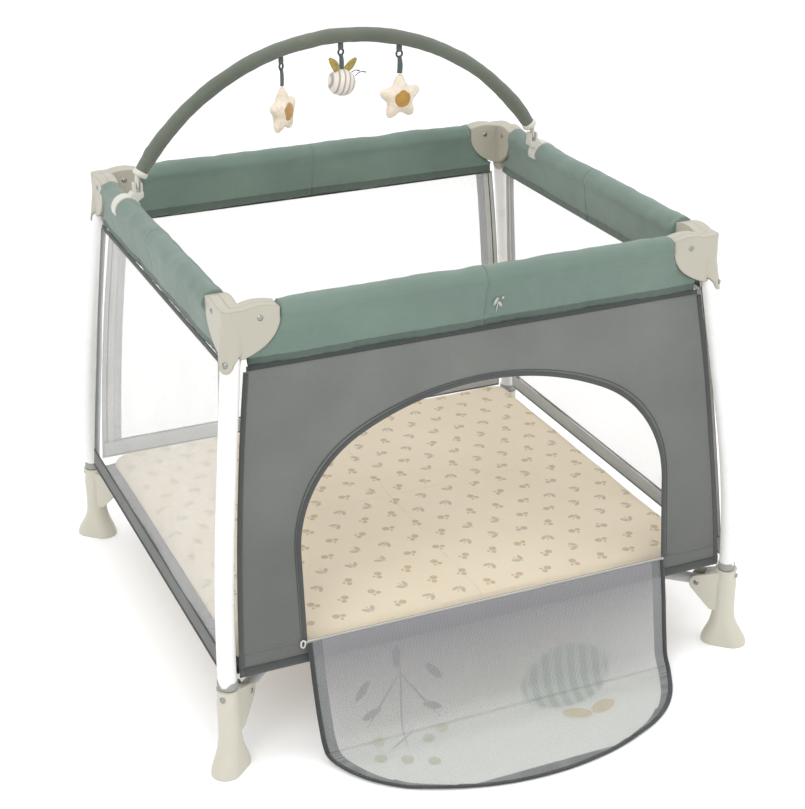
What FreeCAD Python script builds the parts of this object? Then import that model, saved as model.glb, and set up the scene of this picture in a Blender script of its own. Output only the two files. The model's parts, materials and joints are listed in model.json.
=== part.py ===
"""A folding square playpen for a baby, open and standing, with its door flap laid out in front.

The frame is four splayed legs, four strut tubes under the floor that meet at a hub, and on each
side two half rails that meet at a centre lock. It folds like an umbrella: the hub rises, the legs
come together and the half rails hang down between them. Padded covers, walls, floor and mat are
simple closed solids. Millimetres, +Z up, X across the front, Y to the back; the origin is on the
floor, under the middle of everything that stands or lies there.
"""

import FreeCAD, Part
import math
import os
import re

import Sketcher

Vector = FreeCAD.Vector
Rotation = FreeCAD.Rotation
UP = Vector(0, 0, 1)

# Driving dimensions: alias, value.
DIMENSIONS = [
    ("centre_shift", 98.24),  # the frame's middle lies this far behind the origin
    ("post_x", 420),  # half the spacing of the corner posts, across the front
    ("post_y", 392),  # and front to back
    ("leg_angle", 9.41),  # a leg's lean along the diagonal, in degrees
    ("leg_top", 742),
    ("leg_bend", 450),  # below this height the leg curves until it is upright
    ("leg_low", 151),  # the height where it has become upright
    ("leg_end", 118),  # its lower end, inside the foot
    ("leg_wide", 32),
    ("leg_deep", 26),
    ("tube_wall", 1.5),
    ("rail_height", 765),
    ("rail_radius", 8.5),
    ("strut_radius", 10),
    ("tube_tail", 9),  # tube beyond a hinge pin
    ("pivot_inset", 42),  # corner pin to post, along the rail
    ("lock_pitch", 60),  # between the two pins of the front and back locks
    ("foot_pivot_inset", 50),
    ("foot_pivot_height", 120),
    ("pin_radius", 3),
    ("pin_play", 0.05),
    ("slot_play", 0.5),
    ("head_radius", 5),
    ("head_height", 1.8),
    ("screw_drop", 13),  # a screw's distance from the end of its socket
    ("lobe_half", 16.5),  # half the thickness of a corner's lobes
    ("sleeve_wall", 3),
    ("post_round", 13),
    ("tongue_half", 12),
    ("lobe_reach", 74),
    ("lobe_top", 785),
    ("lobe_bottom", 702),
    ("slot_top", 778),
    ("tongue_low", 684),
    ("seam", 0.5),
    ("ear_width", 15.5),  # half the width of a clevis
    ("hub_disc", 62),
    ("hub_half", 13.5),
    ("cap_radius", 56),
    ("cap_height", 24),
    ("lock_half", 12),
    ("button_long", 12),
    ("button_wide", 9),
    ("button_low", 16.5),
    ("button_travel", 4),
    ("cover_radius", 21),
    ("cover_bore", 17.3),
    ("hem_radius", 8),
    ("hem_drop", 77),
    ("cover_start", 76),
    ("hem_start", 22),
    ("panel_thick", 3),
    ("panel_top", 680),
    ("panel_low", 166),
    ("panel_gap", 21),  # leg axis to the panel's edge
    ("panel_bow", 7),  # the edge follows the leg's curve
    ("door_half", 338),
    ("door_sill", 205),
    ("door_spring", 360),
    ("door_crown", 600),
    ("haunch_radius", 210),
    ("floor_low", 159),
    ("floor_thick", 2.5),
    ("floor_inset", 17),
    ("mat_low", 163),
    ("mat_thick", 27),
    ("mat_inset", 25),
    ("mat_round", 30),
    ("flap_half", 332),
    ("flap_thick", 2.5),
    ("flap_stand", 7),  # the flap's hinge line stands this far in front of the panel
    ("flap_bend_height", 3),
    ("flap_lay", 190),  # the length that lies on the floor
    ("flap_slope", 12),  # degrees out from straight down
    ("hang_gap", 2),
    ("bar_y", 205),
    ("bar_arc", 467),
    ("bar_crown", 1036),
    ("bar_radius", 14),
    ("bar_half_angle", 57.4),
    ("clip_wall", 3),
    ("clip_wide", 26),
    ("clip_pivot_in", 23),
    ("clip_pivot_up", 38),
    ("tab_half", 4),
    ("star_side", 116),  # where a star hangs, from the middle of the bar
    ("star_drop", 112),
    ("star_tip", 47),
    ("star_notch", 27),
    ("toy_thick", 24),
    ("bee_drop", 86),
    ("bee_radius", 26),
    ("strap_wide", 12),
    ("strap_thick", 2.4),
    ("foot_top", 152),
    ("foot_flare", 34),  # the height over which the paw narrows
    ("foot_radius", 18.5),
    ("toe_radius", 25),
    ("toe_straight", 16),
    ("toe_shift", 4),
]
FOOT_LEVELS = (0, 0.07, 0.14, 0.21, 0.29, 0.38, 0.5, 0.66, 0.83, 1)

# Sizes worked out from them, by name.
DERIVED = {
    "diagonal": "sqrt(post_x ^ 2 + post_y ^ 2)",
    "leg_slope": "tan(leg_angle * 1 deg)",
    "leg_knee": "(diagonal + leg_slope * (leg_top - leg_bend))",
    "leg_foot": "(leg_knee + (leg_bend - leg_low) * tan(leg_angle * 0.5 deg))",
    "leg_lean": "(leg_foot - diagonal)",
    "leg_chord": "sqrt((leg_foot - leg_knee) ^ 2 + (leg_bend - leg_low) ^ 2)",
    "half_rail_x": "(post_x - pivot_inset - lock_pitch / 2)",
    "half_rail_y": "(half_rail_x * post_y / post_x)",
    "lock_pitch_y": "(2 * (post_y - pivot_inset - half_rail_y))",
    "strut_long": "(half_rail_x * diagonal / post_x)",
    "foot_pivot": "(leg_foot - foot_pivot_inset)",
    "hub_radius": "(foot_pivot - strut_long)",
    "panel_tall": "(panel_top - panel_low)",
    "low_x": "(leg_foot * post_x / diagonal)",
    "low_y": "(leg_foot * post_y / diagonal)",
}

# corner: the sides of the frame that it is on, and the turn of its housing
CORNERS = {
    "front_left": (-1, -1, 0),
    "front_right": (1, -1, 90),
    "back_right": (1, 1, 180),
    "back_left": (-1, 1, 270),
}
# half rail: its corner, its direction in degrees, its length
HALVES = {
    "front_rail_left": ("front_left", 0, "half_rail_x"),
    "front_rail_right": ("front_right", 180, "half_rail_x"),
    "back_rail_left": ("back_left", 0, "half_rail_x"),
    "back_rail_right": ("back_right", 180, "half_rail_x"),
    "left_rail_front": ("front_left", 90, "half_rail_y"),
    "left_rail_back": ("back_left", 270, "half_rail_y"),
    "right_rail_front": ("front_right", 90, "half_rail_y"),
    "right_rail_back": ("back_right", 270, "half_rail_y"),
}
# side: where its middle is, the turn of its length, its pitch between lock pins
SIDES = {
    "front": (0, -1, 0, "lock_pitch"),
    "right": (1, 0, 90, "lock_pitch_y"),
    "back": (0, 1, 180, "lock_pitch"),
    "left": (-1, 0, 270, "lock_pitch_y"),
}

doc = FreeCAD.newDocument("playpen")
sheet = doc.addObject("Spreadsheet::Sheet", "sizes")
for row, (alias, size) in enumerate(DIMENSIONS, start=1):
    sheet.set(f"A{row}", alias)
    sheet.set(f"B{row}", str(size))
    sheet.setAlias(f"B{row}", alias)
doc.recompute()

ALIASES = {alias for alias, size in DIMENSIONS}
WORD = re.compile(r"[a-z_]+")


def bound(text):
    """The expression with derived names spelled out and sheet cells named in full."""
    text = str(text)
    while any(word in DERIVED for word in WORD.findall(text)):
        text = WORD.sub(lambda m: DERIVED.get(m.group(0), m.group(0)), text)
    return WORD.sub(lambda m: "sizes." * (m.group(0) in ALIASES) + m.group(0), text)


def number(text):
    """The value of an expression, as a plain float."""
    return float(sheet.evalExpression(bound(text)))


def new_body(label):
    body = doc.addObject("PartDesign::Body", label)
    body.Label = label
    return body


def origin_plane(body, plane):
    return next(f for f in body.Origin.OriginFeatures if f.Role == f"{plane}_Plane")


def sketch(body, plane, out="0", turn=0, swing=0, nod=0):
    """A sketch on one of the body's own origin planes, moved out along its normal and, if asked,
    turned in its own plane, swung round its own upright axis or tipped over its level one."""
    made = body.newObject("Sketcher::SketchObject", f"{body.Name}_sketch")
    made.AttachmentSupport = [(origin_plane(body, plane), "")]
    made.MapMode = "FlatFace"
    swung = Rotation(Vector(0, 1, 0), swing).multiply(Rotation(Vector(1, 0, 0), nod))
    made.AttachmentOffset = FreeCAD.Placement(Vector(), swung.multiply(Rotation(UP, turn)))
    made.setExpression("AttachmentOffset.Base.z", bound(out))
    return made


def fix(made, kind, size, *where):
    """One dimension of a sketch, bound to an expression."""
    index = made.addConstraint(Sketcher.Constraint(kind, *where, number(size)))
    made.setExpression(f"Constraints[{index}]", bound(size))


def outline(made, steps, closed=True):
    """Lines and arcs through the steps (x, y) or (x, y, sagitta): a sagitta makes the edge that
    reaches the step an arc, bulging to the left of its direction by that much."""
    at = [Vector(number(s[0]), number(s[1]), 0) for s in steps]
    ends = []
    for i in range(0 if closed else 1, len(steps)):
        start, end, step = at[i - 1], at[i], steps[i]
        if len(step) == 2:
            edge = made.addGeometry(Part.LineSegment(start, end))
        else:
            left = UP.cross(end - start).normalize()
            middle = (start + end) / 2 + left * number(step[2])
            edge = made.addGeometry(Part.Arc(start, middle, end))
        first = 1 if (made.getPoint(edge, 1) - start).Length < 1e-6 else 2
        ends.append((edge, first, 3 - first, i))
    for n, (edge, first, last, i) in enumerate(ends):
        if closed or n + 1 < len(ends):
            after, after_first = ends[(n + 1) % len(ends)][:2]
            made.addConstraint(Sketcher.Constraint("Coincident", edge, last, after, after_first))
    for edge, first, last, i in ends:
        fix(made, "DistanceX", steps[i][0], -1, 1, edge, last)
        fix(made, "DistanceY", steps[i][1], -1, 1, edge, last)
        if len(steps[i]) == 3:
            fix_centre(made, edge, steps[i - 1], steps[i])
    if not closed:
        edge, first = ends[0][:2]
        fix(made, "DistanceX", steps[0][0], -1, 1, edge, first)
        fix(made, "DistanceY", steps[0][1], -1, 1, edge, first)
    return made


def fix_centre(made, edge, start, step):
    """Fixes an arc's centre along the middle line of its chord, from its sagitta."""
    (x0, y0), (x1, y1, bulge) = start[:2], step
    wide, tall = f"(({x1}) - ({x0}))", f"(({y1}) - ({y0}))"
    chord = f"sqrt({wide} ^ 2 + {tall} ^ 2)"
    back = f"(({bulge}) / (2 * {chord}) - {chord} / (8 * ({bulge})))"
    if abs(number(tall)) > abs(number(wide)):
        fix(made, "DistanceX", f"(({x0}) + ({x1})) / 2 - {tall} * {back}", -1, 1, edge, 3)
    else:
        fix(made, "DistanceY", f"(({y0}) + ({y1})) / 2 + {wide} * {back}", -1, 1, edge, 3)


def circle(made, x, y, radius):
    centre = Vector(number(x), number(y), 0)
    edge = made.addGeometry(Part.Circle(centre, UP, number(radius)))
    fix(made, "DistanceX", x, -1, 1, edge, 3)
    fix(made, "DistanceY", y, -1, 1, edge, 3)
    fix(made, "Radius", radius, edge)
    return made


def oval(made, straight, radius, middle="0", tall=False):
    """A stadium outline about (middle, 0): its straight half-length and its end radius."""
    if tall:
        steps = [(f"{middle} + ({radius})", f"{straight}", f"{radius}"),
                 (f"{middle} + ({radius})", f"-({straight})"),
                 (f"{middle} - ({radius})", f"-({straight})", f"{radius}"),
                 (f"{middle} - ({radius})", f"{straight}")]
        return outline(made, steps)
    steps = [(f"{middle} + ({straight})", f"{radius}"),
             (f"{middle} + ({straight})", f"-({radius})", f"{radius}"),
             (f"{middle} - ({straight})", f"-({radius})"),
             (f"{middle} - ({straight})", f"{radius}", f"{radius}")]
    return outline(made, steps)


def box_outline(made, x0, x1, y0, y1):
    return outline(made, [(x0, y0), (x1, y0), (x1, y1), (x0, y1)])


def grow(kind, body, profile, length, both=True, back=False):
    """A Pad or Pocket of a sketch, to both sides of its plane or to one."""
    made = body.newObject(f"PartDesign::{kind}", f"{body.Name}_{kind.lower()}")
    made.Profile = profile
    made.SideType = "Symmetric" if both else "One side"
    made.Reversed = back
    made.setExpression("Length", bound(length))
    return made


def pad(body, profile, length, **how):
    return grow("Pad", body, profile, length, **how)


def pocket(body, profile, length, **how):
    return grow("Pocket", body, profile, length, **how)


def loft(body, sections):
    made = body.newObject("PartDesign::AdditiveLoft", f"{body.Name}_loft")
    made.Profile = sections[0]
    made.Sections = sections[1:]
    return made


def pipe(body, profile, path, kind="AdditivePipe"):
    made = body.newObject(f"PartDesign::{kind}", f"{body.Name}_pipe")
    made.Profile = profile
    made.Spine = (path, [f"Edge{n + 1}" for n in range(path.GeometryCount)])
    return made


def fillet(body, radius, wanted):
    """Rounds the edges of the body's last feature that the test picks."""
    doc.recompute()
    tip = body.Tip
    names = [f"Edge{n}" for n, edge in enumerate(tip.Shape.Edges, start=1) if wanted(edge)]
    made = body.newObject("PartDesign::Fillet", f"{body.Name}_fillet")
    made.Base = (tip, names)
    made.setExpression("Radius", bound(radius))
    return made


def place(made, x="0", y="0", z="0", turn=0, tilt=None):
    """Puts a finished sub-part at its place in the frame; tilt is a rotation before the turn."""
    rotation = Rotation(UP, turn)
    if tilt is not None:
        rotation = rotation.multiply(tilt)
    made.Placement = FreeCAD.Placement(Vector(), rotation)
    for axis, size in zip("xyz", (x, f"{y} + centre_shift", z)):
        made.setExpression(f"Placement.Base.{axis}", bound(size))


def diagonal_turn(corner):
    """The direction of a corner from the middle, in degrees."""
    side_x, side_y = CORNERS[corner][:2]
    return math.degrees(math.atan2(side_y * number("post_y"), side_x * number("post_x")))


def place_on_diagonal(made, corner, out, height="0", inward=False):
    """Puts a piece on a corner's diagonal, its own +X pointing outward, or inward if asked."""
    side_x, side_y = CORNERS[corner][:2]
    place(made, f"{side_x} * ({out}) * post_x / diagonal", f"{side_y} * ({out}) * post_y / diagonal",
          height, diagonal_turn(corner) + (180 if inward else 0))


def leg_path(body, end="leg_top"):
    """The leg's line in its diagonal plane: upright in the foot, then curving until it leans."""
    return outline(sketch(body, "XZ"), [
        ("0", "leg_end"),
        ("0", "leg_low"),
        ("leg_knee - leg_foot", "leg_bend", "-leg_chord / 2 * tan(leg_angle * 0.25 deg)"),
        (f"diagonal - leg_foot - leg_slope * ({end} - leg_top)", end),
    ], closed=False)


def leg_section(body, more="0"):
    """The leg tube's oval at its foot, grown by more all round."""
    return oval(sketch(body, "XY", "leg_end"), "(leg_wide - leg_deep) / 2",
                f"leg_deep / 2 + ({more})", tall=True)


def leg_tube(corner):
    body = new_body(f"leg_tube_{corner}")
    pipe(body, leg_section(body), leg_path(body))
    pipe(body, leg_section(body, "-tube_wall"), leg_path(body), "SubtractivePipe")
    place_on_diagonal(body, corner, "leg_foot")
    return body


def foot(corner):
    """A paw-shaped foot: a socket for the leg, a narrow waist, a wide base, and a clevis."""
    body = new_body(f"foot_{corner}")
    levels = []
    for share in FOOT_LEVELS:
        height = f"(foot_top * {share})"
        flare = f"(1 / exp(({height} / foot_flare) ^ 2))"
        level = sketch(body, "XY", height)
        oval(level, f"1 + (toe_straight - 1) * {flare}",
             f"foot_radius + (toe_radius - foot_radius) * {flare}", f"toe_shift * {flare}")
        levels.append(level)
    loft(body, levels)
    ear = outline(sketch(body, "XZ"), [
        ("-4", "foot_top - 4"),
        ("-foot_pivot_inset", "foot_pivot_height + 15"),
        ("-foot_pivot_inset - 9", "foot_pivot_height - 12", "-8"),
        ("-24", "70"),
        ("-4", "66"),
    ])
    pad(body, ear, "2 * ear_width")
    socket = oval(sketch(body, "XY", "leg_end"), "(leg_wide - leg_deep) / 2", "leg_deep / 2 + 0.2",
                  tall=True)
    pocket(body, socket, "60", both=False, back=True)
    slot = box_outline(sketch(body, "XZ"), "-foot_pivot_inset - 30", "-foot_pivot_inset + 14",
                       "60", "170")
    pocket(body, slot, "2 * (strut_radius + slot_play)")
    hole = circle(sketch(body, "XZ"), "-foot_pivot_inset", "foot_pivot_height", "pin_radius")
    pocket(body, hole, "4 * ear_width")
    screw = circle(sketch(body, "YZ"), "0", "foot_top - screw_drop", "pin_radius")
    pocket(body, screw, "60", both=False, back=True)
    place_on_diagonal(body, corner, "leg_foot")
    return body


def lobe(body, plane):
    """The outline of one lobe, from the post out along its rail."""
    return outline(sketch(body, plane), [
        ("-lobe_half", "lobe_bottom"),
        ("12", "lobe_bottom"),
        ("50", "lobe_bottom + 18", "-2"),
        ("lobe_reach", "lobe_bottom + 56", "-4"),
        ("lobe_reach", "lobe_top - 8"),
        ("lobe_reach - 5", "lobe_top - 4", "-1.5"),
        ("lobe_half + 1", "lobe_top - 4", "-4"),
        ("-lobe_half", "lobe_top - 4"),
    ])


def is_post_edge(edge):
    """True for the upright edge between the two lobes' outer faces."""
    box = edge.BoundBox
    return max(box.XMax, box.YMax) < -number("lobe_half") + 0.01


def lobes(corner):
    """The two lobes that hold the rails' ends, and the rounded edge between them."""
    side_x, side_y, turn = CORNERS[corner]
    body = new_body(f"lobes_{corner}")
    for plane in ("XZ", "YZ"):
        pad(body, lobe(body, plane), "2 * lobe_half")
    fillet(body, "post_round", is_post_edge)
    for plane in ("XZ", "YZ"):
        slot = box_outline(sketch(body, plane), "pivot_inset - 15", "lobe_reach + 20",
                           "tongue_low - 20", "slot_top")
        pocket(body, slot, "2 * (rail_radius + slot_play)")
    for plane in ("XZ", "YZ"):
        hole = circle(sketch(body, plane), "pivot_inset", "rail_height", "pin_radius")
        pocket(body, hole, "4 * lobe_half")
    place(body, f"{side_x} * post_x", f"{side_y} * post_y", "0", turn)
    return body


def sleeve(corner):
    """The part of the housing that wraps the leg, with a rounded tongue in front and behind."""
    body = new_body(f"sleeve_{corner}")
    pipe(body, leg_section(body, "sleeve_wall"), leg_path(body, "lobe_top - 8"))
    over = box_outline(sketch(body, "XZ"), "-200", "100", "0", "tongue_low - 5")
    pocket(body, over, "200")
    for way in ("1", "-1"):
        side = outline(sketch(body, "YZ"), [
            ("0", "tongue_low"),
            (f"{way} * tongue_half", "tongue_low + tongue_half",
             f"-({way}) * tongue_half * (1 - sqrt(0.5))"),
            (f"{way} * 20", "lobe_bottom + 12"),
            (f"{way} * 60", "lobe_bottom + 12"),
            (f"{way} * 60", "tongue_low - 20"),
            ("0", "tongue_low - 20"),
        ])
        pocket(body, side, "400")
    place_on_diagonal(body, corner, "leg_foot")
    return body


def corner_housing(corner):
    """The moulded corner: an outer and an inner shell, screwed together around the leg's top."""
    side_x, side_y, turn = CORNERS[corner]
    shells = doc.addObject("Part::MultiFuse", f"shells_{corner}")
    shells.Shapes = [lobes(corner), sleeve(corner)]
    shells.Refine = True
    gaps = []
    for plane in ("XZ", "YZ"):
        gap = new_body(f"gap_{corner}")
        line = box_outline(sketch(gap, plane), "0", "lobe_reach + 20", "tongue_low - 20",
                           "lobe_top + 20")
        pad(gap, line, "seam")
        place(gap, f"{side_x} * post_x", f"{side_y} * post_y", "0", turn)
        gaps.append(gap)
    leg_room = new_body(f"leg_room_{corner}")
    pipe(leg_room, leg_section(leg_room, "0.3"), leg_path(leg_room))
    hole = circle(sketch(leg_room, "YZ", "-60"), "0", "tongue_low + screw_drop", "pin_radius")
    pad(leg_room, hole, "60", both=False)
    place_on_diagonal(leg_room, corner, "leg_foot")
    room = doc.addObject("Part::MultiFuse", f"room_{corner}")
    room.Shapes = [leg_room, *gaps]
    made = doc.addObject("Part::Cut", f"corner_{corner}")
    made.Label = f"corner_{corner}"
    made.Base = shells
    made.Tool = room
    return made


def fasteners(corner):
    """The rivets of one leg, two corner pins and the strut's pin, and its two screws."""
    side_x, side_y, turn = CORNERS[corner]
    middle = Vector(0, number("centre_shift"), 0)
    post = middle + Vector(side_x * number("post_x"), side_y * number("post_y"), 0)
    along = Rotation(UP, turn)
    out = Rotation(UP, diagonal_turn(corner))
    inset, height, half = number("pivot_inset"), number("rail_height"), number("lobe_half")
    ear = number("ear_width")
    strut_pin = Vector(number("foot_pivot"), 0, number("foot_pivot_height"))
    solids = [
        rivet(post + along.multVec(Vector(inset, 0, height)), along.multVec(Vector(0, 1, 0)), half),
        rivet(post + along.multVec(Vector(0, inset, height)), along.multVec(Vector(1, 0, 0)), half),
        rivet(middle + out.multVec(strut_pin), out.multVec(Vector(0, 1, 0)), ear),
    ]
    face = number("diagonal + leg_slope * (leg_top - tongue_low - screw_drop)"
                  " + (leg_deep / 2 + sleeve_wall) / cos(leg_angle * 1 deg)")
    tongue = Vector(0, 0, number("tongue_low + screw_drop"))
    solids.append(screw(middle + tongue, out.multVec(Vector(1, 0, 0)), face + 0.9, 3.2))
    socket = Vector(0, 0, number("foot_top - screw_drop"))
    foot_at = middle + out.multVec(Vector(number("leg_foot"), 0, 0))
    solids.append(screw(foot_at + socket, out.multVec(Vector(1, 0, 0)), number("foot_radius + 1")))
    made = doc.addObject("Part::Feature", f"fasteners_{corner}")
    made.Label = f"fasteners_{corner}"
    made.Shape = Part.makeCompound(solids)
    return made


def domed_head(seat, axis):
    radius = number("head_radius")
    return Part.makeCone(radius, radius * 0.55, number("head_height"), seat, axis)


def rivet(middle, axis, reach):
    """A pin with a domed head at each end, reach from its middle."""
    shank = Part.makeCylinder(number("pin_radius"), 2 * reach, middle - axis * reach, axis)
    heads = [domed_head(middle + axis * reach, axis), domed_head(middle - axis * reach, -axis)]
    return shank.multiFuse(heads).removeSplitter()


def screw(origin, axis, reach, length=4.5):
    """A short screw whose domed head stands on a face at a reach from the origin."""
    shank = Part.makeCylinder(number("pin_radius"), length, origin + axis * (reach - length), axis)
    return shank.fuse(domed_head(origin + axis * reach, axis)).removeSplitter()


def link(label, span, radius):
    """A round tube that is pinned at both ends, with its plugs; its first pin is at the origin."""
    body = new_body(label)
    profile = circle(sketch(body, "YZ", "-tube_tail"), "0", "0", radius)
    pad(body, profile, f"{span} + 2 * tube_tail", both=False)
    bore = circle(sketch(body, "YZ", "tube_tail + 8"), "0", "0", f"{radius} - tube_wall")
    pocket(body, bore, f"{span} - 2 * tube_tail - 16", both=False, back=True)
    holes = sketch(body, "XZ")
    circle(holes, "0", "0", "pin_radius + pin_play")
    circle(holes, span, "0", "pin_radius + pin_play")
    pocket(body, holes, "60")
    return body


def half_rail(name):
    corner, turn, span = HALVES[name]
    body = link(name, span, "rail_radius")
    place_half(body, name)
    return body


def place_half(made, name):
    """Puts a piece whose origin is a half rail's corner pin."""
    corner, turn, span = HALVES[name]
    side_x, side_y = CORNERS[corner][:2]
    along_x = turn in (0, 180)
    inset_x = "pivot_inset" if along_x else "0"
    inset_y = "0" if along_x else "pivot_inset"
    place(made, f"{side_x} * (post_x - {inset_x})", f"{side_y} * (post_y - {inset_y})",
          "rail_height", turn)


def strut(corner):
    body = link(f"strut_{corner}", "strut_long", "strut_radius")
    place_on_diagonal(body, corner, "foot_pivot", "foot_pivot_height", inward=True)
    return body


def hub():
    """The floor hub: a disc with four clevis arms, one along each diagonal, and their pins."""
    body = new_body("hub_arms")
    pad(body, circle(sketch(body, "XY"), "0", "0", "hub_disc"), "2 * hub_half")
    reach = "hub_radius + 13"
    angles = [diagonal_turn("back_right"), diagonal_turn("back_left")]
    for angle in angles:
        arm = sketch(body, "XY", turn=angle)
        box_outline(arm, f"-({reach})", reach, "-ear_width", "ear_width")
        pad(body, arm, "2 * hub_half")
    half_slot = "strut_radius + slot_play"
    for angle in angles:
        for way in (1, -1):
            slot = sketch(body, "XY", turn=angle)
            box_outline(slot, f"{way} * (hub_radius - 14)", f"{way} * (hub_radius + 20)",
                        f"-({half_slot})", half_slot)
            pocket(body, slot, "6 * hub_half")
    pins = [hub_pin(angle, way) for angle in angles for way in (1, -1)]
    made = doc.addObject("Part::MultiFuse", "hub")
    made.Label = "hub"
    made.Shapes = [body, *pins]
    place(made, z="foot_pivot_height")
    return made


def hub_pin(angle, way):
    """One of the hub's pins, across its clevis."""
    pin = doc.addObject("Part::Cylinder", "hub_pin")
    pin.setExpression("Radius", bound("pin_radius"))
    pin.setExpression("Height", bound("2 * ear_width - 2"))
    out = Rotation(UP, angle).multVec(Vector(way * number("hub_radius"), 0, 0))
    across = Rotation(UP, angle).multVec(Vector(0, 1, 0))
    start = out - across * (number("ear_width") - 1)
    pin.Placement = FreeCAD.Placement(start, Rotation(UP, across))
    return pin


def hub_cap():
    """The domed cap over the hub, with the pull loop that lifts it to fold the pen."""
    body = new_body("hub_cap")
    pad(body, circle(sketch(body, "XY"), "0", "0", "cap_radius"), "cap_height", both=False)
    fillet(body, "4", lambda edge: edge.BoundBox.ZMin > number("cap_height") - 0.5)
    groove = sketch(body, "XY", "cap_height")
    box_outline(groove, "-32", "32", "-11", "11")
    pocket(body, groove, "5", both=False)
    loop = outline(sketch(body, "XZ"), [
        ("-28", "4"), ("28", "4"), ("28", "7"), ("-28", "7"),
    ])
    pad(body, loop, "16")
    place(body, z="foot_pivot_height + hub_half + 0.3")
    return body


def lock(side):
    """The centre lock of a side: two cheeks with a pin at each end, and a block between them."""
    at_x, at_y, turn, pitch = SIDES[side]
    body = new_body(f"lock_{side}")
    pad(body, oval(sketch(body, "XZ"), f"{pitch} / 2", "lock_half"), "2 * lock_half")
    for way in (1, -1):
        slot = box_outline(sketch(body, "XZ"), f"{way} * ({pitch} / 2 - 14)",
                           f"{way} * ({pitch} / 2 + 30)", "-40", "40")
        pocket(body, slot, "2 * (rail_radius + slot_play)")
    recess = box_outline(sketch(body, "XY", "4"), "-button_long / 2 - 0.3", "button_long / 2 + 0.3",
                         "-button_wide / 2 - 0.3", "button_wide / 2 + 0.3")
    pocket(body, recess, "40", both=False)
    pins = sketch(body, "XZ")
    circle(pins, f"{pitch} / 2", "0", "pin_radius")
    circle(pins, f"-{pitch} / 2", "0", "pin_radius")
    pad(body, pins, "2 * lock_half")
    place(body, f"{at_x} * post_x", f"{at_y} * post_y", "rail_height", turn)
    return body


def lock_button(side):
    """The button under the lock that lets the half rails drop."""
    at_x, at_y, turn, pitch = SIDES[side]
    body = new_body(f"lock_button_{side}")
    face = box_outline(sketch(body, "XY", "-button_low"), "-button_long / 2", "button_long / 2",
                       "-button_wide / 2", "button_wide / 2")
    pad(body, face, "button_low - button_travel", both=False)
    fillet(body, "1.2", lambda edge: edge.BoundBox.ZMax < -number("button_low") + 0.1)
    place(body, f"{at_x} * post_x", f"{at_y} * post_y", "rail_height", turn)
    return body


def rail_cover(name):
    """The padded sleeve of one half rail, round over the rail and thin at its lower hem."""
    corner, turn, span = HALVES[name]
    body = new_body(name.replace("_rail_", "_cover_"))
    start = "hem_start - pivot_inset"
    lean = "((cover_radius - hem_radius) / hem_drop)"
    side = f"sqrt(1 - {lean} ^ 2)"
    section = outline(sketch(body, "YZ", start), [
        (f"cover_radius * {side}", f"-cover_radius * {lean}"),
        (f"-cover_radius * {side}", f"-cover_radius * {lean}", f"-cover_radius * (1 + {lean})"),
        (f"-hem_radius * {side}", f"-hem_drop - hem_radius * {lean}"),
        (f"hem_radius * {side}", f"-hem_drop - hem_radius * {lean}",
         f"-hem_radius * (1 - {lean})"),
    ])
    circle(section, "0", "0", "cover_bore")
    half_pitch = "lock_pitch / 2" if turn in (0, 180) else "lock_pitch_y / 2"
    pad(body, section, f"{span} + {half_pitch} - 0.5 - ({start})", both=False)
    lobe_room = outline(sketch(body, "XZ"), [
        ("-60", "40"),
        ("-60", "lobe_bottom - rail_height - 2"),
        ("12 - pivot_inset", "lobe_bottom - rail_height - 2"),
        ("51.5 - pivot_inset", "lobe_bottom + 16 - rail_height", "-2"),
        ("cover_start - pivot_inset", "lobe_bottom + 55 - rail_height", "-4"),
        ("cover_start - pivot_inset", "40"),
    ])
    pocket(body, lobe_room, "80")
    place_half(body, name)
    return body


def wall_tilt(side):
    """How far a wall leans from upright: its foot stands out as the legs do."""
    wide = "post_x" if side in ("left", "right") else "post_y"
    drop = number("leg_foot - diagonal") * number(wide) / number("diagonal")
    high = number("leg_top - leg_low")
    return math.degrees(math.atan2(drop, high))


def leg_out(height):
    """How far out along the diagonal the leg's axis is at a height above its knee."""
    return f"(diagonal + leg_slope * (leg_top - ({height})))"


def wall(side):
    """A fabric wall between two legs, from under the rail's cover down to the floor."""
    at_x, at_y, turn, pitch = SIDES[side]
    name = "front_panel" if side == "front" else f"{side}_wall"
    body = new_body(name)
    along, across = ("post_x", "post_y") if side in ("front", "back") else ("post_y", "post_x")
    top = f"({leg_out('panel_top')} * {along} / diagonal - panel_gap)"
    foot_end = f"(leg_foot * {along} / diagonal - panel_gap)"
    face = sketch(body, "XZ")
    outline(face, [(f"-{foot_end}", "0", "-panel_bow"), (foot_end, "0"),
                   (top, "panel_tall", "-panel_bow"), (f"-{top}", "panel_tall")])
    pad(body, face, "panel_thick")
    if side == "front":
        pocket(body, door_outline(body, "door_half", "panel_low"), "20")
    place(body, f"{at_x} * leg_foot * post_x / diagonal", f"{at_y} * leg_foot * post_y / diagonal",
          "panel_low", turn, Rotation(Vector(1, 0, 0), -wall_tilt(side)))
    return body


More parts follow.
